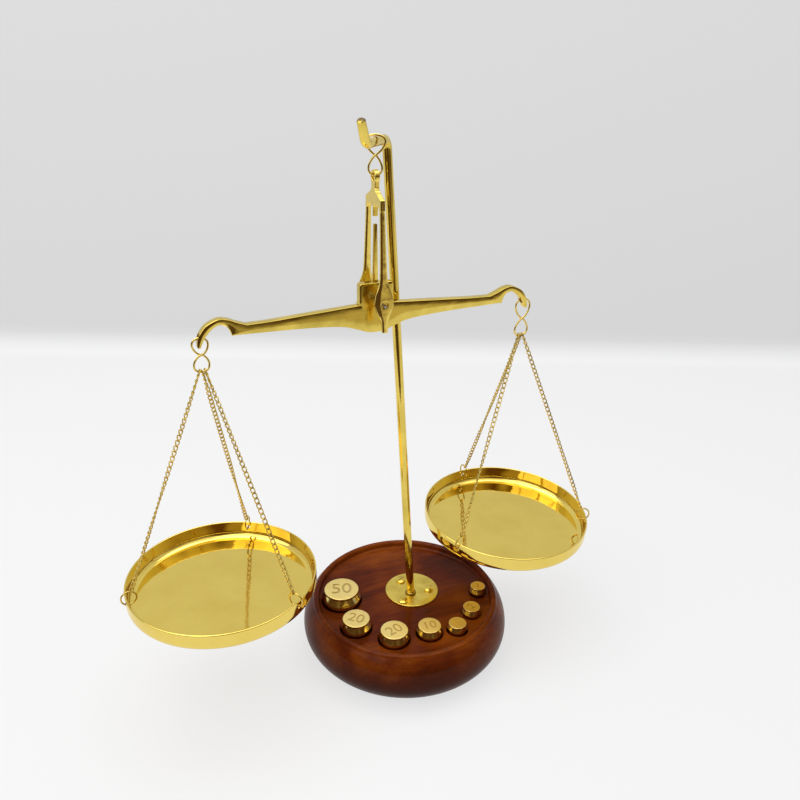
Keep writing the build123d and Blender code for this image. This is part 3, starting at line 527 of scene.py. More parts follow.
def varnished_wood():
    """Turned red-brown wood under gloss varnish: broad growth bands cut by fine dark
    streaks along the grain, with pores, painted shade darkening it low down, and a few dull knocks."""
    finish = blank("varnished_wood")
    group = sizes("base")
    grain = (0.06, 0.10, 0.55)
    along = finish.coords(turn=grain, scale=(0.16, 1.0, 1.0))
    bands = finish.noise(along, 0.0120, 3.0, 0.5, 0.6)
    streaks = finish.noise(along, 0.0022, 6.0, 0.65, 0.4)
    pores = finish.noise(finish.coords(turn=grain, scale=(0.045, 1.0, 1.0)), 0.0005, 2.0, 0.5)
    pores = pores.above(0.64, 0.10)
    clouds = finish.noise(finish.coords(), 0.030, 2.0, 0.5)
    tone = (bands * 0.50 + streaks * 0.22 + clouds * 0.62 - 0.17).clamped()
    stops = (
        (0.30, tuple(group.dark_wood)),
        (0.46, (0.105, 0.0140, 0.0008)),
        (0.62, (0.200, 0.0400, 0.0018)),
        (0.84, tuple(group.light_wood)),
    )
    colour = finish.add("ShaderNodeValToRGB", {"stops": stops}, {0: tone})
    colour = finish.mix(pores * 0.55, colour, (0.012, 0.003, 0.001))
    # Painted shade: the wood is darkened towards the foot, where the swollen side turns down away from the
    # light.
    height = finish.part(finish.coords(), "Z")
    colour = finish.mix((1.0 - height.above(0.015, 0.020)) * 0.80, colour, (0.030, 0.007, 0.002))
    wear = finish.noise(finish.coords(), 0.010, 6.0, 0.7).above(0.66, 0.10)
    roughness = wear * 0.18 + 0.36
    swell = finish.noise(finish.coords(), 0.014, 2.0)
    normal = finish.bump(swell, 0.00022)
    normal = finish.bump(streaks * 0.6 - pores * 0.4, 0.00003, normal)
    return finish.close(
        {
            "Base Color": colour,
            "Roughness": roughness,
            "Specular IOR Level": 0.04,
            "Coat Weight": 0.22,
            "Coat Roughness": 0.06,
            "Coat IOR": 1.34,
            "Normal": normal,
        }
    )


def seen(finish):
    """1 for the rays that show a thing to the camera, straight, in a gloss or through
    glass, and 0 for the rays that carry light to other surfaces."""
    names = ("Is Camera Ray", "Is Glossy Ray", "Is Transmission Ray")
    camera, glossy, through_glass = [finish.add("ShaderNodeLightPath", output=name) for name in names]
    return (camera + glossy + through_glass).clamped()


def pale_paper():
    """Plain floor and backdrop. Their own glow is only seen, and lights nothing."""
    finish = blank("pale_paper")
    group = sizes("stage")
    soft = finish.noise(finish.coords(), 0.4, 1.0)
    height = finish.part(finish.coords(), "Z")
    colour = finish.mix(soft * 0.12, tuple(group.pale), (0.235, 0.235, 0.235))
    colour = finish.mix(height.above(0.010, 0.016), colour, tuple(group.grey))
    glow = finish.mix(seen(finish), (0.0, 0.0, 0.0), colour)
    return finish.close(
        {
            "Base Color": colour,
            "Roughness": 0.9,
            "Specular IOR Level": 0.1,
            "Emission Color": glow,
            "Emission Strength": group.glow,
        }
    )


def grid_faces(rows, columns, close_rows=False, close_columns=False):
    """Quads that join each point of a grid to the next along both of its directions; a
    closed direction also joins its last point to its first."""
    index = np.arange(rows * columns).reshape(rows, columns)
    if close_rows:
        index = np.vstack([index, index[:1]])
    if close_columns:
        index = np.hstack([index, index[:, :1]])
    corners = [index[:-1, :-1], index[:-1, 1:], index[1:, 1:], index[1:, :-1]]
    return np.stack(corners, -1).reshape(-1, 4).tolist()


def ends(rows, columns):
    """Flat faces over the first and the last row of a grid with closed rows of points."""
    last = rows * columns
    return [list(range(columns)), list(range(last - 1, last - columns - 1, -1))]


def mesh_object(name, points, faces, crease=35.0):
    """Object from points in metres and faces: doubles merged, faces outwards, smooth
    apart from edges sharper than the crease angle."""
    mesh = bpy.data.meshes.new(name)
    mesh.from_pydata(np.asarray(points, float).reshape(-1, 3).tolist(), [], faces)
    piece = put(name, mesh)
    tidy(piece, crease)
    return piece


def tidy(piece, crease=35.0):
    """Merges doubles, turns faces outwards and sets smooth and sharp edges."""
    work = bmesh.new()
    work.from_mesh(piece.data)
    bmesh.ops.remove_doubles(work, verts=work.verts, dist=1e-7)
    bmesh.ops.dissolve_degenerate(work, edges=work.edges, dist=1e-8)
    bmesh.ops.recalc_face_normals(work, faces=work.faces)
    work.to_mesh(piece.data)
    work.free()
    piece.data.shade_smooth()
    piece.data.set_sharp_from_angle(angle=radians(crease))


def settle(piece):
    """Turns the piece's modifiers into its mesh."""
    evaluated = piece.evaluated_get(bpy.context.evaluated_depsgraph_get())
    mesh = bpy.data.meshes.new_from_object(evaluated)
    piece.modifiers.clear()
    old = piece.data
    piece.data = mesh
    bpy.data.meshes.remove(old)


def combine(piece, other, operation):
    """Cuts the other solid out of the piece, or joins it to the piece."""
    modifier = piece.modifiers.new("combine", "BOOLEAN")
    modifier.object = other
    modifier.operation = operation
    modifier.solver = "EXACT"
    settle(piece)
    bpy.data.objects.remove(other)


def dress(piece, material, body, slot, *nodes):
    """Gives a piece its material and its body, and hides the nodes that it stands for. The slot is not used.
    """
    piece.data.materials.clear()
    piece.data.materials.append(material)
    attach(piece, body)
    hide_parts(*nodes)
    return piece


def arc(centre, radius, start, end, count):
    """Points of a circular arc in a plane, angles in degrees."""
    turn = np.radians(np.linspace(start, end, count))
    return np.stack([centre[0] + radius * np.cos(turn), centre[1] + radius * np.sin(turn)], -1)


def lathe(profile, count, centre=(0, 0)):
    """Solid of revolution: a profile of radius and height turned about an upright axis."""
    profile = np.asarray(profile, float)
    turn = np.linspace(0, 2 * pi, count, endpoint=False)
    x = centre[0] + profile[:, :1] * np.cos(turn)
    y = centre[1] + profile[:, :1] * np.sin(turn)
    z = np.repeat(profile[:, 1:], count, axis=1)
    return np.stack([x, y, z], -1), grid_faces(len(profile), count, False, True)


def extrusion(outline, low, high, axis):
    """Solid between two copies of a closed outline, carried from low to high along the
    named axis, X or Y."""
    outline = np.asarray(outline, float)
    count = len(outline)
    copies = [np.insert(outline, "XY".index(axis), depth, axis=1) for depth in (low, high)]
    return np.stack(copies), grid_faces(2, count, False, True) + ends(2, count)


def through(points, steps):
    """Smooth curve through points: between each two it is the cubic whose tangents are
    half the chord between the neighbours (Catmull-Rom)."""
    points = np.asarray(points, float)
    padded = np.vstack([2 * points[0] - points[1], points, 2 * points[-1] - points[-2]])
    before, here, after, beyond = padded[:-3], padded[1:-2], padded[2:-1], padded[3:]
    t = np.linspace(0, 1, steps, endpoint=False)[None, :, None]
    here, after = here[:, None], after[:, None]
    start = (after[:, 0] - before)[:, None] / 2
    end = (beyond - here[:, 0])[:, None] / 2
    curve = (
        (2 * t**3 - 3 * t**2 + 1) * here + (t**3 - 2 * t**2 + t) * start
        + (3 * t**2 - 2 * t**3) * after + (t**3 - t**2) * end
    )
    return np.vstack([curve.reshape(-1, points.shape[1]), points[-1:]])


def unit(vectors):
    """The same directions at length 1."""
    return vectors / np.linalg.norm(vectors, axis=-1, keepdims=True)


def tube(path, radii, sides, normal, closed=False):
    """Round wire along a path: each ring lies square to the path, set out from a normal
    that the path never runs along."""
    path = np.asarray(path, float)
    radii = np.broadcast_to(np.asarray(radii, float), len(path))
    if closed:
        along = np.roll(path, -1, 0) - np.roll(path, 1, 0)
    else:
        along = np.gradient(path, axis=0)
    along = unit(along)
    side = unit(np.cross(along, np.asarray(normal, float)))
    up = np.cross(side, along)
    turn = np.linspace(0, 2 * pi, sides, endpoint=False)
    ring = side[:, None] * np.cos(turn)[None, :, None] + up[:, None] * np.sin(turn)[None, :, None]
    points = path[:, None] + ring * radii[:, None, None]
    return points, grid_faces(len(path), sides, closed, True)


def gather(parts):
    """Several point grids and their faces as one."""
    points, faces, start = [], [], 0
    for grid, quads in parts:
        flat = np.asarray(grid).reshape(-1, 3)
        points.append(flat)
        faces.extend([[corner + start for corner in quad] for quad in quads])
        start += len(flat)
    return np.vstack(points), faces


def rounded_path(corners, radius, steps):
    """Path of straight runs joined by tangent arcs of one radius."""
    corners = [np.asarray(corner, float) for corner in corners]
    path = [corners[0]]
    for before, here, after in zip(corners, corners[1:], corners[2:]):
        back, ahead = unit(before - here), unit(after - here)
        half = np.arccos(np.clip(back @ ahead, -1, 1)) / 2
        middle = here + unit(back + ahead) * radius / sin(half)
        start = here + back * radius / tan(half)
        outward, forward = unit(start - middle), -back
        sweep = pi - 2 * half
        turn = np.linspace(0, sweep, steps)[:, None]
        path.extend(middle + radius * (outward * np.cos(turn) + forward * np.sin(turn)))
    path.append(corners[-1])
    return np.array(path)


def with_runs(path, step):
    """The same path with its long straight runs divided into even steps."""
    pieces = []
    for start, end in zip(path[:-1], path[1:]):
        count = max(1, int(np.linalg.norm(end - start) / step))
        pieces.append(start + (end - start) * np.linspace(0, 1, count, endpoint=False)[:, None])
    pieces.append(path[-1:])
    return np.vstack(pieces)


def base_profile(group, radius, height):
    """Half section of the base from the middle of its underside to the middle of its
    dish: a foot step, two arcs of the swollen side, a rounded lip, a wall and a cove."""
    swell, field = group.swell, height - group.dish
    drop, rise = swell - group.foot, height - group.outer_drop - swell
    low, high = radius - group.lower_swell, radius - group.upper_swell
    low_angle = np.degrees(np.arcsin(drop / group.lower_swell))
    high_angle = np.degrees(np.arcsin(rise / group.upper_swell))
    lower = arc((low, swell), group.lower_swell, -low_angle, 0, 20)
    upper = arc((high, swell), group.upper_swell, 0, high_angle, 20)[1:]
    foot = lower[0, 0] - group.foot_step
    top, lip = group.rim_crest, 0.95 * MM
    crest = through([upper[-1], (top + lip, height - 0.32 * MM), (top, height),
                     (top - lip, height - 0.25 * MM), (group.rim_inner, height - group.inner_drop)], 5)[1:]
    cove = arc((group.rim_inner - group.cove, field + group.cove), group.cove, 0, -90, 7)
    rings = np.linspace(cove[-1, 0], 0, 12)[1:]
    dish = np.stack([rings, np.full(len(rings), field)], -1)
    foot_line = [(0, 0), (foot - 0.4 * MM, 0), (foot, 0.3 * MM), (foot, group.foot)]
    return np.vstack([foot_line, lower, upper, crest, cove, dish])


def socket_cutter(group, low, high, field):
    """Cutter for a weight's socket: a cylinder whose mouth is rounded over."""
    radius = (high[0] - low[0]) / 2 + group.socket_gap
    centre = ((low[0] + high[0]) / 2, (low[1] + high[1]) / 2)
    flare = group.socket_round
    mouth = arc((radius + flare, field - flare), flare, 180, 90, 6)
    profile = np.vstack([[(0, low[2] - 0.2 * MM), (radius, low[2] - 0.2 * MM)], mouth,
                         [(radius + flare, field + 4 * MM), (0, field + 4 * MM)]])
    return lathe(profile, 72, centre)


def weight_nodes():
    """Names of the loose weights in the frame."""
    return [node for node in frame["nodes"] if node.startswith("weight_")]


class BALANCE_OT_base(bpy.types.Operator):
    """Turned base with its dish and seven sockets"""

    bl_idname = "balance.base"
    bl_label = "Wooden base"

    def execute(self, context):
        group = sizes("base")
        high = box_of("wooden_base")[1]
        height = round(high[2], 4)
        base = mesh_object("turned_base", *lathe(base_profile(group, high[0], height), 256))
        cutters = [socket_cutter(group, *box_of(node), height - group.dish) for node in weight_nodes()]
        combine(base, mesh_object("cutters", *gather(cutters)), "DIFFERENCE")
        tidy(base, 40.0)
        dress(base, varnished_wood(), "stand", "varnished_wood", "wooden_base")
        return {"FINISHED"}


def rod_point(group, height):
    """Middle of the leaning rod at a height."""
    low = box_of("rod_collar")[0][2]
    rise = height - low
    return np.array([group.foot_x + group.lean_x * rise, group.foot_y + group.lean_y * rise, height])


class BALANCE_OT_flange(bpy.types.Operator):
    """Flange plate, its three screws and the bead at the rod's foot"""

    bl_idname = "balance.flange"
    bl_label = "Flange"

    def execute(self, context):
        group = sizes("stand")
        low, high = box_of("flange_plate")
        radius = (high[0] - low[0]) / 2
        centre = (low + high)[:2] / 2
        edge = group.flange_edge
        rim = arc((radius - edge, high[2] - edge), edge, 0, 90, 6)
        profile = np.vstack([[(0, low[2]), (radius, low[2])], rim, [(radius * 0.5, high[2]), (0, high[2])]])
        plate = mesh_object("flange_disc", *lathe(profile, 128, centre))
        dress(plate, flange_brass(), "stand", "flange_brass", "flange_plate")

        heads, slots = [], []
        near, far = group.screw_inset_near, group.screw_inset_far
        for number, (inset, degrees) in enumerate(((near, 106.0), (near, -24.0), (far, -139.0))):
            bearing = radians(degrees)
            at = centre + (radius - inset) * np.array([cos(bearing), sin(bearing)])
            heads.append(self.head(group, at, high[2]))
            slots.append(self.slot(group, at, high[2], radians(20.0 + 50.0 * number)))
        screws = mesh_object("screw_heads", *gather(heads), 50.0)
        combine(screws, mesh_object("cutters", *gather(slots)), "DIFFERENCE")
        tidy(screws, 40.0)
        dress(screws, screw_brass(), "stand", "screw_brass", "flange_screws")

        foot = rod_point(group, high[2])[:2]
        bead = arc((0, 0), 1.0, 0, 80, 8) * [group.collar_radius * 0.34, group.collar_height]
        bead = bead + [group.collar_radius * 0.66, high[2]]
        profile = np.vstack([[(0, high[2] - 0.1 * MM), (group.collar_radius, high[2] - 0.1 * MM)], bead,
                             [(0, high[2] + group.collar_height)]])
        collar = mesh_object("foot_bead", *lathe(profile, 64, foot))
        dress(collar, collar_brass(), "stand", "rod_brass", "rod_collar")
        return {"FINISHED"}

    def head(self, group, at, floor):
        """Low dome over an upright edge: a circular arc from the edge to the crown."""
        rise = group.head_height * (1 - group.head_side)
        dome = (group.head_radius**2 + rise**2) / (2 * rise)
        half = np.degrees(np.arcsin(group.head_radius / dome))
        crown = arc((0, floor + group.head_height - dome), dome, 90 - half, 90, 12)
        foot = floor - 0.1 * MM
        return lathe(np.vstack([[(0, foot), (group.head_radius, foot)], crown]), 48, at)

    def slot(self, group, at, floor, turn):
        """Thin block across a head."""
        along = np.array([cos(turn), sin(turn)]) * group.head_radius * 1.2
        across = np.array([-sin(turn), cos(turn)]) * group.slot_width / 2
        outline = [at + along + across, at - along + across, at - along - across, at + along - across]
        low, high = floor + group.head_height * 0.55, floor + group.head_height * 1.5
        points = np.stack([np.column_stack([outline, np.full(4, level)]) for level in (low, high)])
        return points, grid_faces(2, 4, False, True) + ends(2, 4)


class BALANCE_OT_rod(bpy.types.Operator):
    """Leaning rod with its hook"""

    bl_idname = "balance.rod"
    bl_label = "Hooked rod"

    def execute(self, context):
        group = sizes("stand")
        pivot = joint_point("hook_link_swing")
        corner = rod_point(group, group.hook_height)
        ahead = unit(np.array([*(pivot - corner)[:2], 0.0]))
        upturn = corner + ahead * group.hook_reach
        tip = upturn + ahead * group.hook_rise * tan(group.hook_opening) + [0, 0, group.hook_rise]
        foot = rod_point(group, box_of("flange_plate")[1][2] - 2 * MM)
        path = with_runs(rounded_path([foot, corner, upturn, tip], group.hook_bend, 14), 3 * MM)
        last, edge, sides = unit(path[-1] - path[-2]), group.tip_round, 40
        path = np.vstack([path[:-1], *[path[-1] - last * back for back in (edge, 0.012 * MM, 0.006 * MM, 0)]])
        left = np.linalg.norm(path - path[-1], axis=1)
        radii = group.rod_radius * (1 - group.tip_taper * np.clip(1 - left / group.tip_length, 0, 1))
        radii[-3:] = radii[-4] - edge, radii[-4] * 0.4, 0.0
        beside = np.cross([0, 0, 1.0], ahead)
        points, faces = tube(path, radii, sides, beside)
        faces.append(list(range(sides - 1, -1, -1)))
        rod = mesh_object("bent_rod", points, faces)
        dress(rod, rod_brass(), "stand", "rod_brass", "hooked_rod")
        return {"FINISHED"}


def eight(centre, across, heights, widths, wire, full):
    """Wire bent in a figure of eight. Its height follows the cosine of the turn, its width
    the sine times a power of the cosine (a low power, full, makes rounder loops), and its
    strands pass each other at the crossing. The heights are those of the top, the crossing
    and the bottom, and the widths those of the upper and the lower loop."""
    top, crossing, bottom = heights
    t = np.linspace(0, 2 * pi, 160, endpoint=False) + pi / 160
    upper = np.cos(t) >= 0
    height = np.where(upper, (top - crossing), (crossing - bottom)) * np.cos(t)
    shape = np.sin(t) * np.sign(np.cos(t)) * np.abs(np.cos(t)) ** full
    shape = shape / np.abs(shape).max()
    half_width = np.where(upper, *widths) / 2
    across = np.asarray(across, float)
    beside = np.cross(across, [0, 0, 1.0])
    path = (
        np.asarray(centre, float)[None]
        + across[None] * (shape * half_width)[:, None]
        + beside[None] * (wire * 0.52 * np.sin(t) * np.abs(np.sin(t)))[:, None]
        + np.array([0, 0, 1.0])[None] * (height + crossing - centre[2])[:, None]
    )
    return tube(path, wire / 2, 14, beside, True)


class BALANCE_OT_links(bpy.types.Operator):
    """Figure-eight wires: one under the hook and one at each end of the beam"""

    bl_idname = "balance.links"
    bl_label = "Wire links"

    def execute(self, context):
        group = sizes("wire")
        material = wire_brass()
        half = group.wire / 2
        low, high = box_of("hook_link")
        centre = (low + high) / 2
        turn = group.hook_link_turn
        across = np.array([cos(turn), sin(turn), 0])
        heights = (high[2] - half, group.hook_link_crossing, low[2] + half)
        spans = np.array([group.hook_link_upper, group.hook_link_lower]) - group.wire
        figure = eight(centre, across, heights, spans, group.wire, group.hook_link_full)
        link = mesh_object("hook_wire", *figure)
        dress(link, material, "hook_link", "wire_brass", "hook_link")
        for side in SIDES:
            low, high = box_of(side + "_hanger")
            centre = (low + high) / 2
            heights = (high[2] - half, getattr(group, side + "_crossing"), low[2] + half)
            span = high[0] - low[0] - group.wire
            full = getattr(group, side + "_full")
            figure = eight(centre, (1, 0, 0), heights, (span, span), group.wire, full)
            wire = mesh_object(side + "_hanger_wire", *figure)
            dress(wire, material, side + "_hanger", "wire_brass", side + "_hanger")
        return {"FINISHED"}


class BALANCE_OT_fork(bpy.types.Operator):
    """Cast fork: bridge, pierced tab, index tongue and two ridged legs with eyes"""

    bl_idname = "balance.fork"
    bl_label = "Fork"

    def execute(self, context):
        group = sizes("fork")
        pivot = joint_point("beam_rock")
        outline = self.bridge_outline(group) + [pivot[1], 0]
        half = group.tab_thickness / 2
        bridge = mesh_object("fork_casting", *extrusion(outline, pivot[0] - half, pivot[0] + half, "X"))
        for sign in (-1, 1):
            combine(bridge, mesh_object("leg", *self.leg(group, pivot, sign)), "UNION")
        reach = 3 * group.eye_spread
        eyes = (group.eye_radius, group.eye + group.eye_rise, [0, 2, 1])
        tab_hole = (group.tab_hole_radius, group.tab_hole, [2, 0, 1])
        for radius, height, order in (eyes, tab_hole):
            points, faces = lathe([(0, -reach), (radius, -reach), (radius, reach), (0, reach)], 40)
            points = points[..., order] + [pivot[0], pivot[1], height]
            combine(bridge, mesh_object("drill", points, faces), "DIFFERENCE")
        remesh = bridge.modifiers.new("grain", "REMESH")
        remesh.mode = "VOXEL"
        remesh.voxel_size = group.grain
        soften = bridge.modifiers.new("soften", "SMOOTH")
        soften.factor = 0.5
        soften.iterations = 3
        settle(bridge)
        tidy(bridge, 60.0)
        dress(bridge, fork_brass(), "fork", "cast_brass", "fork")
        return {"FINISHED"}

    def bridge_outline(self, group):
        """Front outline, Y from the middle: shoulders, neck, round tab and tongue."""
        shoulder = group.top_spread + group.leg / 2
        top = group.shoulder
        neck = top + group.shoulder_depth + 2.6 * MM
        tab = arc((0, group.tab_hole), group.tab_radius, -38, 218, 32)
        right = np.array([
            (0.55 * MM, top - group.tongue), (0.75 * MM, top - 0.6 * MM), (1.6 * MM, top),
            (shoulder - 2.6 * MM, top), (shoulder - 2.0 * MM, top - 1.5 * MM), (shoulder, top - 1.5 * MM),
            (shoulder - 0.3 * MM, top + group.shoulder_depth), (2.6 * MM, neck), (1.75 * MM, neck + 1.4 * MM),
        ])
        return np.vstack([right, tab, right[::-1] * [-1, 1]])

    def leg(self, group, pivot, sign):
        """Splayed leg: at each height a flat diamond whose half width swells at the eye
        and whose thickness runs from a thin edge to a ridge in the middle."""
        eye = group.eye
        profile = through(np.array([
            (1.25, group.foot / MM), (1.42, eye / MM - 6.4), (2.85, eye / MM - 3.2), (3.85, eye / MM - 0.4),
            (3.92, eye / MM + 1.6), (3.35, eye / MM + 4.8), (2.05, eye / MM + 8.2), (1.55, eye / MM + 11.5),
            (1.25, eye / MM + 22.0), (0.98, group.shoulder / MM + 1.5),
        ]) * MM, 8)
        height, half = profile[:, 1], profile[:, 0]
        slope = (group.eye_spread - group.top_spread) / (group.shoulder - eye)
        middle = sign * (group.eye_spread - slope * (height - eye))
        ridge, edge = group.leg / 2, group.leg_edge / 2
        section = np.array([(-1, -edge), (-0.45, -ridge), (0.45, -ridge * 0.80), (1, -edge),
                            (1, edge), (0.35, ridge), (-0.35, ridge), (-1, edge)])
        x = pivot[0] + half[:, None] * section[None, :, 0]
        y = pivot[1] + middle[:, None] + section[None, :, 1] * np.ones((len(height), 1))
        z = np.repeat(height[:, None], len(section), axis=1)
        rows, columns = z.shape
        return np.stack([x, y, z], -1), grid_faces(rows, columns, False, True) + ends(rows, columns)


def beam_outline(group, arm):
    """Front outline of the beam, X from the pivot, closed and listed anticlockwise, with
    the bevel width at each point: wide along the underside of the arms, narrow elsewhere."""
    end = arm / MM - 12.0
    under = through([(0, 168.9), (4.0, 169.35), (8.2, 170.9), (16.0, 173.0), (33.0, 174.2), (end, 174.9)], 10)
    arch = through([(end, 174.9), (end + 0.8, 177.2), (end + 2.3, 179.0), (end + 4.7, 179.5),
                    (end + 7.5, 177.9), (end + 9.8, 175.4), (end + 11.1, 173.3), (end + 11.8, 171.7)], 7)[1:]
    tip = np.array([(end + 12.1, 171.35), (end + 12.7, 171.25), (end + 13.1, 171.5)])
    crown = through([(end + 13.3, 172.0), (end + 13.0, 174.0), (end + 12.0, 176.8), (end + 9.5, 179.8),
                     (end + 4.9, 181.85), (end + 1.2, 181.45), (end - 2.2, 180.0), (end - 6.0, 178.6)], 8)
    hub, top = group.hub_half / MM, group.hub_top / MM
    arm_top = through([(end - 6.0, 178.6), (end - 16.0, 178.9), (33.0, 179.55), (hub + 1.6, 181.0),
                       (hub + 0.35, 181.35), (hub, 182.4)], 8)[1:]
    corner = arc((hub - group.hub_corner / MM, top - group.hub_corner / MM), group.hub_corner / MM, 0, 90, 8)
    half = np.vstack([under, arch, tip, crown, arm_top, corner])
    wide = len(under)
    narrow = group.bevel / MM
    bevel = np.full(len(half), narrow)
    ease = np.clip((half[:wide, 0] - (end - 7.0)) / 6.0, 0, 1)
    bevel[:wide] = group.lower_bevel / MM + (narrow - group.lower_bevel / MM) * ease
    mirrored = (half[1:] * [-1, 1])[::-1]
    return np.vstack([half, mirrored]) * MM, np.concatenate([bevel, bevel[1:][::-1]]) * MM


class BALANCE_OT_beam(bpy.types.Operator):
    """Beam with swan-neck ends, knife edge and pointer"""

    bl_idname = "balance.beam"
    bl_label = "Beam"

    def execute(self, context):
        group = sizes("beam")
        pivot = joint_point("beam_rock")
        end = joint_point("left_hanger_swing")
        arm = abs(end[0] - pivot[0])
        beam = mesh_object("beam_casting", *self.casting(group, pivot, arm), 24.0)
        for sign in (-1, 1):
            axis = np.array([sign * cos(group.hole_angle), 0, sin(group.hole_angle)])
            at = np.array([pivot[0] + sign * (arm - group.hole_inset), pivot[1], end[2]])
            path = at + axis * np.array([[-3.0], [3.0]]) * MM
            points, faces = tube(path, group.hole_radius, 40, (0, 1, 0))
            combine(beam, mesh_object("drill", points, faces + ends(2, 40)), "DIFFERENCE")
        tidy(beam, 24.0)
        dress(beam, beam_brass(), "beam", "cast_brass", "beam")

        low, high = box_of("knife_edge")
        edge = 0.06 * MM
        outline = np.array([
            (pivot[0] - edge, low[2] + edge), (pivot[0], low[2]), (pivot[0] + edge, low[2] + edge),
            (high[0], high[2]), (low[0], high[2]),
        ])
        knife = mesh_object("knife_bar", *extrusion(outline, low[1], high[1], "Y"), 30.0)
        dress(knife, knife_steel(), "beam", "steel", "knife_edge")

        low, high = box_of("pointer")
        foot, tip = group.pointer_low / 2, group.pointer_high / 2
        slope = high[2] - group.pointer_slope
        outline = np.array([
            (foot, low[2]), (tip, slope), (tip * 0.6, high[2]),
            (-tip * 0.6, high[2]), (-tip, slope), (-foot, low[2]),
        ]) + [pivot[0], 0]
        needle = mesh_object("needle", *extrusion(outline, low[1], high[1], "Y"), 30.0)
        bevel = needle.modifiers.new("edge", "BEVEL")
        bevel.width = group.pointer_edge
        bevel.segments = 2
        settle(needle)
        tidy(needle, 30.0)
        dress(needle, needle_brass(), "beam", "sheet_brass", "pointer")
        return {"FINISHED"}

    def casting(self, group, pivot, arm):
        """Rings of the outline from the front face round to the back one: the face falls
        with the square of the way from its middle line to its edge, and a quarter-round as
        wide as the bevel leads on to the side."""
        outline, bevel = beam_outline(group, arm)
        ahead = unit(np.roll(outline, -1, 0) - np.roll(outline, 1, 0))
        inward = np.stack([-ahead[:, 1], ahead[:, 0]], -1)
        half = group.thickness / 2
        reach = self.room(outline, inward)
        bevel = np.minimum(bevel, reach * 0.6)
        shares = np.array([1.0, 0.84, 0.66, 0.48, 0.32, 0.18, 0.08, 0.0])
        some = []
        for inner in shares:
            inset = bevel + (reach * 0.94 - bevel) * inner
            some.append((outline + inward * inset[:, None], half - self.fall(group, inset)))
        round_depth = np.minimum(bevel, group.bevel)
        for turn in np.radians([60, 30, 0]):
            flat = outline + inward * (bevel * (1 - cos(turn)))[:, None]
            some.append((flat, half - self.fall(group, bevel) - round_depth * (1 - sin(turn))))
        front, back = [
            [np.stack([flat[:, 0], sign * depth, flat[:, 1]], -1) for flat, depth in some] for sign in (-1, 1)
        ]
        grid = np.stack(front + back[::-1]) + [pivot[0], pivot[1], 0]
        rows, columns = grid.shape[:2]
        return grid, grid_faces(rows, columns, False, True) + ends(rows, columns)

    def fall(self, group, inset):
        """Fall of a face that far in from its edge: the square of what is left of its width."""
        return group.crown * np.maximum(1 - inset / group.crown_width, 0) ** 2

    def room(self, outline, inward):
        """Radius of the largest circle that touches the outline from inside at each point:
        the square of the way to every other point over twice its part along the normal."""
        away = outline[None] - outline[:, None]
        along = np.maximum((away * inward[:, None]).sum(-1), 1e-9)
        radii = ((away**2).sum(-1) / (2 * along) + np.eye(len(outline))).min(1)
        for _ in range(4):
            radii = np.minimum(radii, (np.roll(radii, 1) + radii + np.roll(radii, -1)) / 3)
        return radii


def side_centre(side):
    """Middle of a pan's rim."""
    end = joint_point(side + "_pan_swing")
    return np.array([end[0], end[1], getattr(sizes("pan"), side + "_height")])


def pan_turn(side):
    """Turn of a pan about its rim's middle: about Y first, then about X."""
    tilt_x, tilt_y = [getattr(sizes("pan"), f"{side}_tilt_{axis}") for axis in "xy"]
    return np.array(Matrix.Rotation(tilt_x, 3, "X") @ Matrix.Rotation(tilt_y, 3, "Y"))


class BALANCE_OT_pans(bpy.types.Operator):
    """Two pressed pans, each with three holes under its rim"""

    bl_idname = "balance.pans"
    bl_label = "Pans"

    def execute(self, context):
        group = sizes("pan")
        material = pan_brass()
        for side in SIDES:
            turn, centre = pan_turn(side), side_centre(side)
            points, faces = lathe(self.profile(group), 220)
            pan = mesh_object(side + "_pan_dish", points @ turn.T + centre, faces)
            cutters = [self.hole(group, bearing) for bearing in ring_bearings(side)]
            points, faces = gather(cutters)
            combine(pan, mesh_object("cutters", points @ turn.T + centre, faces), "DIFFERENCE")
            tidy(pan, 40.0)
            dress(pan, material, side + "_pan", "pan_brass", side + "_pan")
        return {"FINISHED"}

    def profile(self, group):
        """Section of the sheet: floor, corner and wall outside, a round rim, and the same
        inside, one sheet's thickness in."""
        radius, depth, corner, sheet = group.radius, group.depth, group.corner, group.sheet
        outer = arc((radius - corner, corner - depth), corner, -90, 0, 16)
        rim = arc((radius - sheet / 2, -sheet / 2), sheet / 2, 0, 180, 10)
        inner = arc((radius - corner, corner - depth), corner - sheet, 0, -90, 16)
        floor = np.linspace(radius - corner, 0, 8)[1:]
        below = np.stack([floor[::-1], np.full(len(floor), -depth)], -1)
        above = np.stack([floor, np.full(len(floor), sheet - depth)], -1)
        return np.vstack([below, outer, rim, inner, above])

    def hole(self, group, bearing):
        """Cutter for a rim hole, along the radius at its bearing."""
        out = np.array([cos(bearing), sin(bearing), 0])
        down = np.array([0, 0, -group.hole_drop])
        path = np.array([out * (group.radius - 3 * MM) + down, out * (group.radius + 3 * MM) + down])
        points, faces = tube(path, group.hole_radius, 28, (0, 0, 1))
        return points, faces + ends(2, 28)


def ring_bearings(side):
    """Where the three rings hang round a pan's rim, anticlockwise from X."""
    degrees = {"left": (60.6, 184.1, 307.6), "right": (94.6, 206.2, 334.2)}
    return [radians(value) for value in degrees[side]]


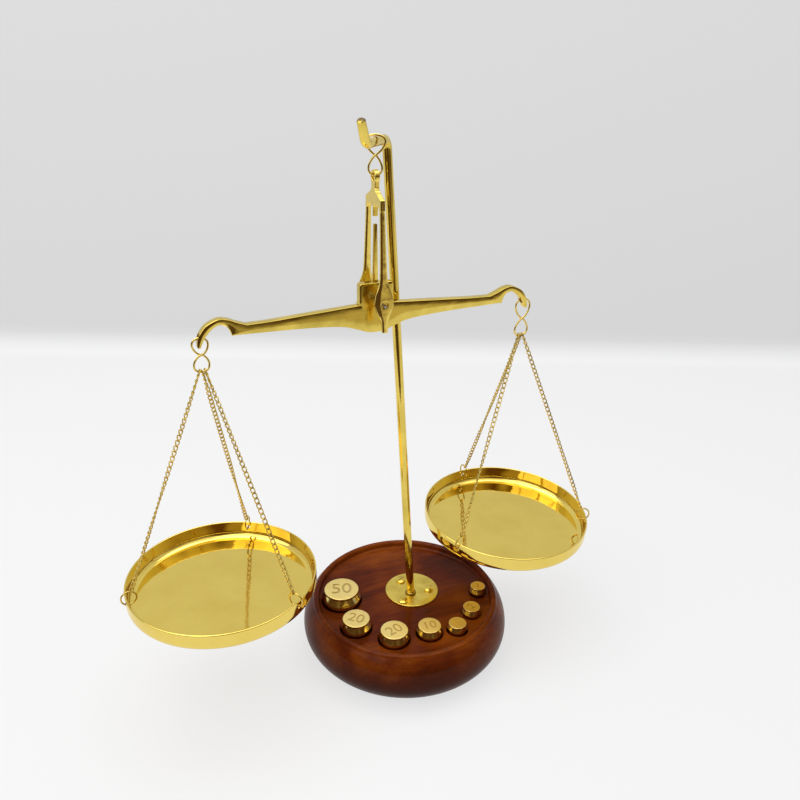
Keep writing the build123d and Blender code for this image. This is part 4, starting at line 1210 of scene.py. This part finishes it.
def chain_line(side, number):
    """Ends of a chain: the hole in the rim, the hanger's wire at the chain's own place on
    it, the unit vector between them, and the bearing of the hole on the pan."""
    pan, chain, wires = sizes("pan"), sizes("chain"), sizes("wire")
    bearings = ring_bearings(side)
    bearing = bearings[number]
    reach = pan.radius - pan.sheet / 2
    local = np.array([reach * cos(bearing), reach * sin(bearing), -pan.hole_drop])
    hole = pan_turn(side) @ local + side_centre(side)
    order = sorted(range(3), key=lambda k: cos(bearings[k])).index(number)
    low, high = box_of(side + "_hanger")
    shift = (order - 1) * chain.spread
    crossing = getattr(wires, side + "_crossing")
    half_across = (high[0] - low[0] - wires.wire) / 2
    half_along = (crossing - low[2] - wires.wire / 2) / 2
    rise = half_along * (1 - sqrt(1 - (shift / half_across) ** 2))
    top = joint_point(side + "_pan_swing") + [shift, 0, rise]
    return hole, top, unit(top - hole), bearing


class BALANCE_OT_rings(bpy.types.Operator):
    """Six wire rings through the rims"""

    bl_idname = "balance.rings"
    bl_label = "Rim rings"

    def execute(self, context):
        group = sizes("wire")
        material = chain_brass()
        for side in SIDES:
            for number in range(3):
                hole, _, along, bearing = chain_line(side, number)
                outward = np.array([cos(bearing), sin(bearing), 0])
                across = unit(outward - along * (outward @ along))
                centre = hole + along * group.ring_radius
                opening = group.ring_gap / group.ring_radius
                start = radians(35 + 40 * number)
                turn = np.linspace(start + opening / 2, start + 2 * pi - opening / 2, 56)[:, None]
                path = centre + group.ring_radius * (across * np.cos(turn) + along * np.sin(turn))
                points, faces = tube(path, group.ring_wire / 2, 12, np.cross(across, along))
                ring = mesh_object(f"{side}_ring_{number + 1}", points, faces + ends(len(path), 12))
                dress(ring, material, side + "_pan", "chain_brass", f"{side}_rim_ring_{number + 1}")
        return {"FINISHED"}


class BALANCE_OT_chains(bpy.types.Operator):
    """Six curb chains of separate twisted links"""

    bl_idname = "balance.chains"
    bl_label = "Chains"

    def execute(self, context):
        material = chain_brass()
        for side in SIDES:
            for number in range(3):
                chain = mesh_object(f"{side}_links_{number + 1}", *self.links(side, number), 80.0)
                dress(chain, material, side + "_pan", "chain_brass", f"{side}_chain_{number + 1}")
        return {"FINISHED"}

    def link(self, group):
        """One curb link: an oval of wire whose plane twists steadily from end to end."""
        turn = np.linspace(0, 2 * pi, group.points, endpoint=False)
        half_length = (group.pitch + group.play + group.wire) / 2
        half_width = (group.width - group.wire) / 2
        flat = half_width * np.sign(np.cos(turn)) * np.abs(np.cos(turn)) ** 0.8
        along = half_length * np.sin(turn)
        twist = group.curb * along / half_length
        path = np.stack([flat * np.cos(twist), flat * np.sin(twist), along], -1)
        ahead = unit(np.roll(path, -1, 0) - np.roll(path, 1, 0))
        outward = unit(path * [1, 1, 0.6])
        side = unit(outward - ahead * (outward * ahead).sum(-1, keepdims=True))
        up = np.cross(ahead, side)
        section = np.linspace(0, 2 * pi, group.sides, endpoint=False) + pi / group.sides
        ring = side[:, None] * np.cos(section)[None, :, None] + up[:, None] * np.sin(section)[None, :, None]
        return path[:, None] + ring * group.wire / 2

    def links(self, side, number):
        """The link repeated along the chain with a slow twist. Over the last links at each
        end it eases round, so that the end link stands square to the wire that it hangs on."""
        group, wires = sizes("chain"), sizes("wire")
        hole, high, along, bearing = chain_line(side, number)
        low = hole + along * 2 * wires.ring_radius
        inner = group.pitch + group.play
        first = low + along * (inner / 2 - wires.ring_wire / 2 - group.play)
        last = high + along * (wires.wire / 2 + group.top_play - inner / 2)
        span = np.linalg.norm(last - first)
        count = 1 + round(span / group.pitch)
        outward = np.array([cos(bearing), sin(bearing), 0])
        across = unit(outward - along * (outward @ along))
        beside = np.cross(along, across)
        place = np.arange(count) / (count - 1)
        loop_wire = unit(np.array([1.0, 0, 0]) - along * along[0])
        end_turn = np.arctan2(loop_wire @ beside, loop_wire @ across)
        near = np.clip(1 - np.arange(count) / group.eased, 0, 1)
        bottom = near**2 * (3 - 2 * near)
        top = bottom[::-1]
        wave = group.wave * np.sin(place * 2 * pi * group.waves + number * 2.1)
        turn = radians(45) + (end_turn - radians(90)) * place + wave * (1 - bottom) * (1 - top)
        turn = turn + group.ease_low * bottom + group.ease_high * top
        u = across[None] * np.cos(turn)[:, None] + beside[None] * np.sin(turn)[:, None]
        v = np.cross(along, u)
        centre = first[None] + along[None] * (span * place)[:, None]
        link = self.link(group)
        points = (
            centre[:, None, None] + link[None, ..., :1] * u[:, None, None]
            + link[None, ..., 1:2] * v[:, None, None] + link[None, ..., 2:] * along[None, None, None]
        )
        rows, sides = link.shape[:2]
        quads = np.array(grid_faces(rows, sides, True, True))
        starts = (np.arange(count) * rows * sides)[:, None, None]
        return points, (quads[None] + starts).reshape(-1, 4).tolist()


class BALANCE_OT_weights(bpy.types.Operator):
    """Seven turned weights, each with its mass cut into its top"""

    bl_idname = "balance.weights"
    bl_label = "Weights"

    # The number on each weight, its turn in degrees, and how far the brass has deepened.
    marks = {
        "weight_50g": ("50", -18.0, 0.0),
        "weight_20g_a": ("20", -40.0, 0.08),
        "weight_20g_b": ("20", 12.0, 0.08),
        "weight_10g": ("10", -8.0, 0.35),
        "weight_5g": ("5", 30.0, 0.65),
        "weight_2g": ("2", 14.0, 0.75),
        "weight_1g": ("1", -20.0, 0.85),
    }

    def execute(self, context):
        group = sizes("weight")
        field = box_of("wooden_base")[1][2] - sizes("base").dish
        for node in weight_nodes():
            low, high = box_of(node)
            centre = (low + high) / 2
            piece = mesh_object(node + "_turned", *self.turned(group, low, high, field))
            words, turn, age = self.marks[node]
            radius = (high[0] - low[0]) / 2 * group.cap_share
            mark = self.mark(words, radius, radians(turn), (centre[0], centre[1], high[2]), group.mark_depth)
            combine(piece, mark, "DIFFERENCE")
            tidy(piece, 40.0)
            dress(piece, weight_brass(high[2], group.mark_depth, age), node, "weight_brass", node)
        return {"FINISHED"}

    def turned(self, group, low, high, field):
        """Stem, steep bevel, groove and cap, with small rounds on the edges."""
        radius = (high[0] - low[0]) / 2
        height = high[2] - field
        cap, neck = radius * group.cap_share, radius * group.neck_share
        under_cap = high[2] - height * group.cap_height
        under_neck = under_cap - height * group.neck_height
        bevel = under_neck - height * group.bevel_height
        under_flange = bevel - height * group.flange_height
        stem = radius - group.stem_inset
        edge = min(group.edge, height * group.cap_height * 0.45)
        top = arc((cap - edge, high[2] - edge), edge, 0, 90, 6)
        small = 0.08 * MM
        face = np.stack([np.array([0.7, 0.35, 0.0]) * cap, np.full(3, high[2])], -1)
        profile = np.vstack([
            [(0, low[2]), (stem - 0.25 * MM, low[2]), (stem, low[2] + 0.25 * MM), (stem, under_flange),
             (radius - small, under_flange), (radius, under_flange + small), (radius, bevel - small),
             (radius - small * 0.4, bevel + small), (neck + small * 0.4, under_neck - small),
             (neck, under_neck + small), (neck, under_cap - small),
             (cap - small, under_cap), (cap, under_cap + small)], top, face])
        return lathe(profile, 96, ((low + high) / 2)[:2])

    def mark(self, words, radius, turn, at, depth):
        """Number as a solid that reaches into the cap."""
        curve = bpy.data.curves.new("mark", "FONT")
        curve.body = words
        curve.size = radius * (1.25 if len(words) > 1 else 1.4)
        curve.extrude = depth
        curve.offset = radius * 0.006
        curve.align_x = "CENTER"
        curve.align_y = "CENTER"
        letter = put("mark", curve)
        mesh = bpy.data.meshes.new_from_object(letter.evaluated_get(bpy.context.evaluated_depsgraph_get()))
        bpy.data.objects.remove(letter)
        mesh.transform(Matrix.Translation(at) @ Matrix.Rotation(turn, 4, "Z"))
        solid = put("mark", mesh)
        tidy(solid)
        return solid


class BALANCE_OT_stage(bpy.types.Operator):
    """Camera, pale floor and backdrop, and studio light"""

    bl_idname = "balance.stage"
    bl_label = "Stage"

    def execute(self, context):
        group = sizes("stage")
        self.camera(group)
        self.paper(group)
        self.world(group)
        self.lamp("key", (-0.60, -0.15, 0.80), (1.1, 1.1), 5.0)
        self.lamp("top", (0.10, 0.25, 1.00), (1.0, 0.7), 5.0)
        bpy.context.scene.view_settings.view_transform = "Standard"
        return {"FINISHED"}

    def camera(self, group):
        """Camera at the photograph's place and angle."""
        forward = Vector(group.camera_forward).normalized()
        right = Vector(group.camera_right).normalized()
        up = right.cross(forward)
        data = bpy.data.cameras.new("camera")
        data.lens = group.lens
        data.sensor_width = 36.0
        data.clip_start = 0.01
        camera = put("camera", data)
        turn = Matrix((right, up, -forward)).transposed().to_4x4()
        camera.matrix_world = Matrix.Translation(group.camera_at) @ turn
        bpy.context.scene.camera = camera

    def paper(self, group):
        """Floor that curves up into a backdrop: straight, quarter arc, straight, carried
        sideways. It runs square to the view."""
        forward = unit(np.array([group.camera_forward[0], group.camera_forward[1], 0.0]))
        sideways = np.array([forward[1], -forward[0], 0.0])
        bend = arc((group.wall_distance - group.cove, group.cove), group.cove, -90, 0, 24)
        profile = np.vstack([[(-group.front, 0)], bend, [(group.wall_distance, 2.0)]])
        across = np.linspace(-2.2, 2.2, 3)
        points = (
            profile[:, None, :1] * forward[None, None] + across[None, :, None] * sideways[None, None]
            + profile[:, None, 1:] * np.array([0, 0, 1.0])[None, None]
        )
        mesh = bpy.data.meshes.new("paper")
        mesh.from_pydata(points.reshape(-1, 3).tolist(), [], grid_faces(len(profile), 3))
        mesh.shade_smooth()
        paper = put("paper", mesh)
        paper.data.materials.append(pale_paper())

    def lamp(self, name, place, size, power):
        """Large soft lamp that faces the object."""
        data = bpy.data.lights.new(name, "AREA")
        data.shape = "RECTANGLE"
        data.size, data.size_y = size
        data.energy = power
        lamp = put(name, data)
        aim = Vector((0, 0, 0.10)) - Vector(place)
        lamp.location = place
        lamp.rotation_mode = "QUATERNION"
        lamp.rotation_quaternion = aim.to_track_quat("-Z", "Y")

    def world(self, group):
        """Even pale light, with a room for the brass to mirror: pale behind the object and
        bright overhead, and in front dark low down, brown with paler patches higher up, and
        a low window on the right."""
        world = bpy.data.worlds.new("world")
        finish = Finish(world)
        heading = finish.add("ShaderNodeTexCoord", output="Generated")
        x, y, z = [finish.part(heading, axis) for axis in "XYZ"]
        forward = [float(value) for value in unit(np.array(group.camera_forward[:2]))]
        away = x * forward[0] + y * forward[1]
        beside = x * forward[1] - y * forward[0]
        behind = away.above(-0.05, 0.40)
        overhead = (z + away * 0.12).above(0.64, 0.22)
        patches = finish.noise(heading, 0.55, 1.0).above(0.50, 0.14)
        window = z.above(-0.50, 0.06) * (1.0 - z.above(-0.12, 0.10)) * beside.above(0.52, 0.16)
        low_dark, brown, cream = (0.110, 0.055, 0.022), (0.190, 0.100, 0.040), (0.620, 0.520, 0.330)
        room = finish.mix(z.above(0.26, 0.26), low_dark, finish.mix(patches, brown, cream))
        room = finish.mix(window, room, (0.860, 0.760, 0.520))
        room = finish.mix(behind, room, (0.98, 0.98, 0.99))
        room = finish.mix(overhead, room, (1.70, 1.66, 1.55))
        glossy = finish.add("ShaderNodeLightPath", output="Is Glossy Ray")
        camera = finish.add("ShaderNodeLightPath", output="Is Camera Ray")
        colour = finish.mix(glossy, (0.92, 0.92, 0.93), room)
        colour = finish.mix(camera, colour, (0.90, 0.90, 0.91))
        sky = finish.add("ShaderNodeBackground", None, {"Color": colour, "Strength": 0.72})
        finish.add("ShaderNodeOutputWorld", None, {"Surface": sky})
        bpy.context.scene.world = world


class BALANCE_PT_panel(bpy.types.Panel):
    """Lists the steps that build the balance"""

    bl_idname = "BALANCE_PT_panel"
    bl_label = "Balance"
    bl_space_type = "VIEW_3D"
    bl_region_type = "UI"
    bl_category = "Balance"

    def draw(self, context):
        for step in STEPS:
            self.layout.operator(step.bl_idname)


GROUPS = {
    "base": BaseSizes, "stand": StandSizes, "wire": WireSizes, "fork": ForkSizes, "beam": BeamSizes,
    "pan": PanSizes, "chain": ChainSizes, "weight": WeightSizes, "stage": StageSizes,
}
STEPS = (
    BALANCE_OT_stage, BALANCE_OT_base, BALANCE_OT_flange, BALANCE_OT_rod, BALANCE_OT_links, BALANCE_OT_fork,
    BALANCE_OT_beam, BALANCE_OT_pans, BALANCE_OT_rings, BALANCE_OT_chains, BALANCE_OT_weights,
)


def register():
    for name, group in GROUPS.items():
        bpy.utils.register_class(group)
        setattr(bpy.types.Scene, "balance_" + name, PointerProperty(type=group))
    for step in (*STEPS, BALANCE_PT_panel):
        bpy.utils.register_class(step)


def unregister():
    for step in (BALANCE_PT_panel, *STEPS[::-1]):
        bpy.utils.unregister_class(step)
    for name, group in GROUPS.items():
        delattr(bpy.types.Scene, "balance_" + name)
        bpy.utils.unregister_class(group)


def main():
    """Builds every piece in order."""
    register()
    for step in STEPS:
        family, name = step.bl_idname.split(".")
        getattr(getattr(bpy.ops, family), name)()


if __name__ == "__main__":
    main()
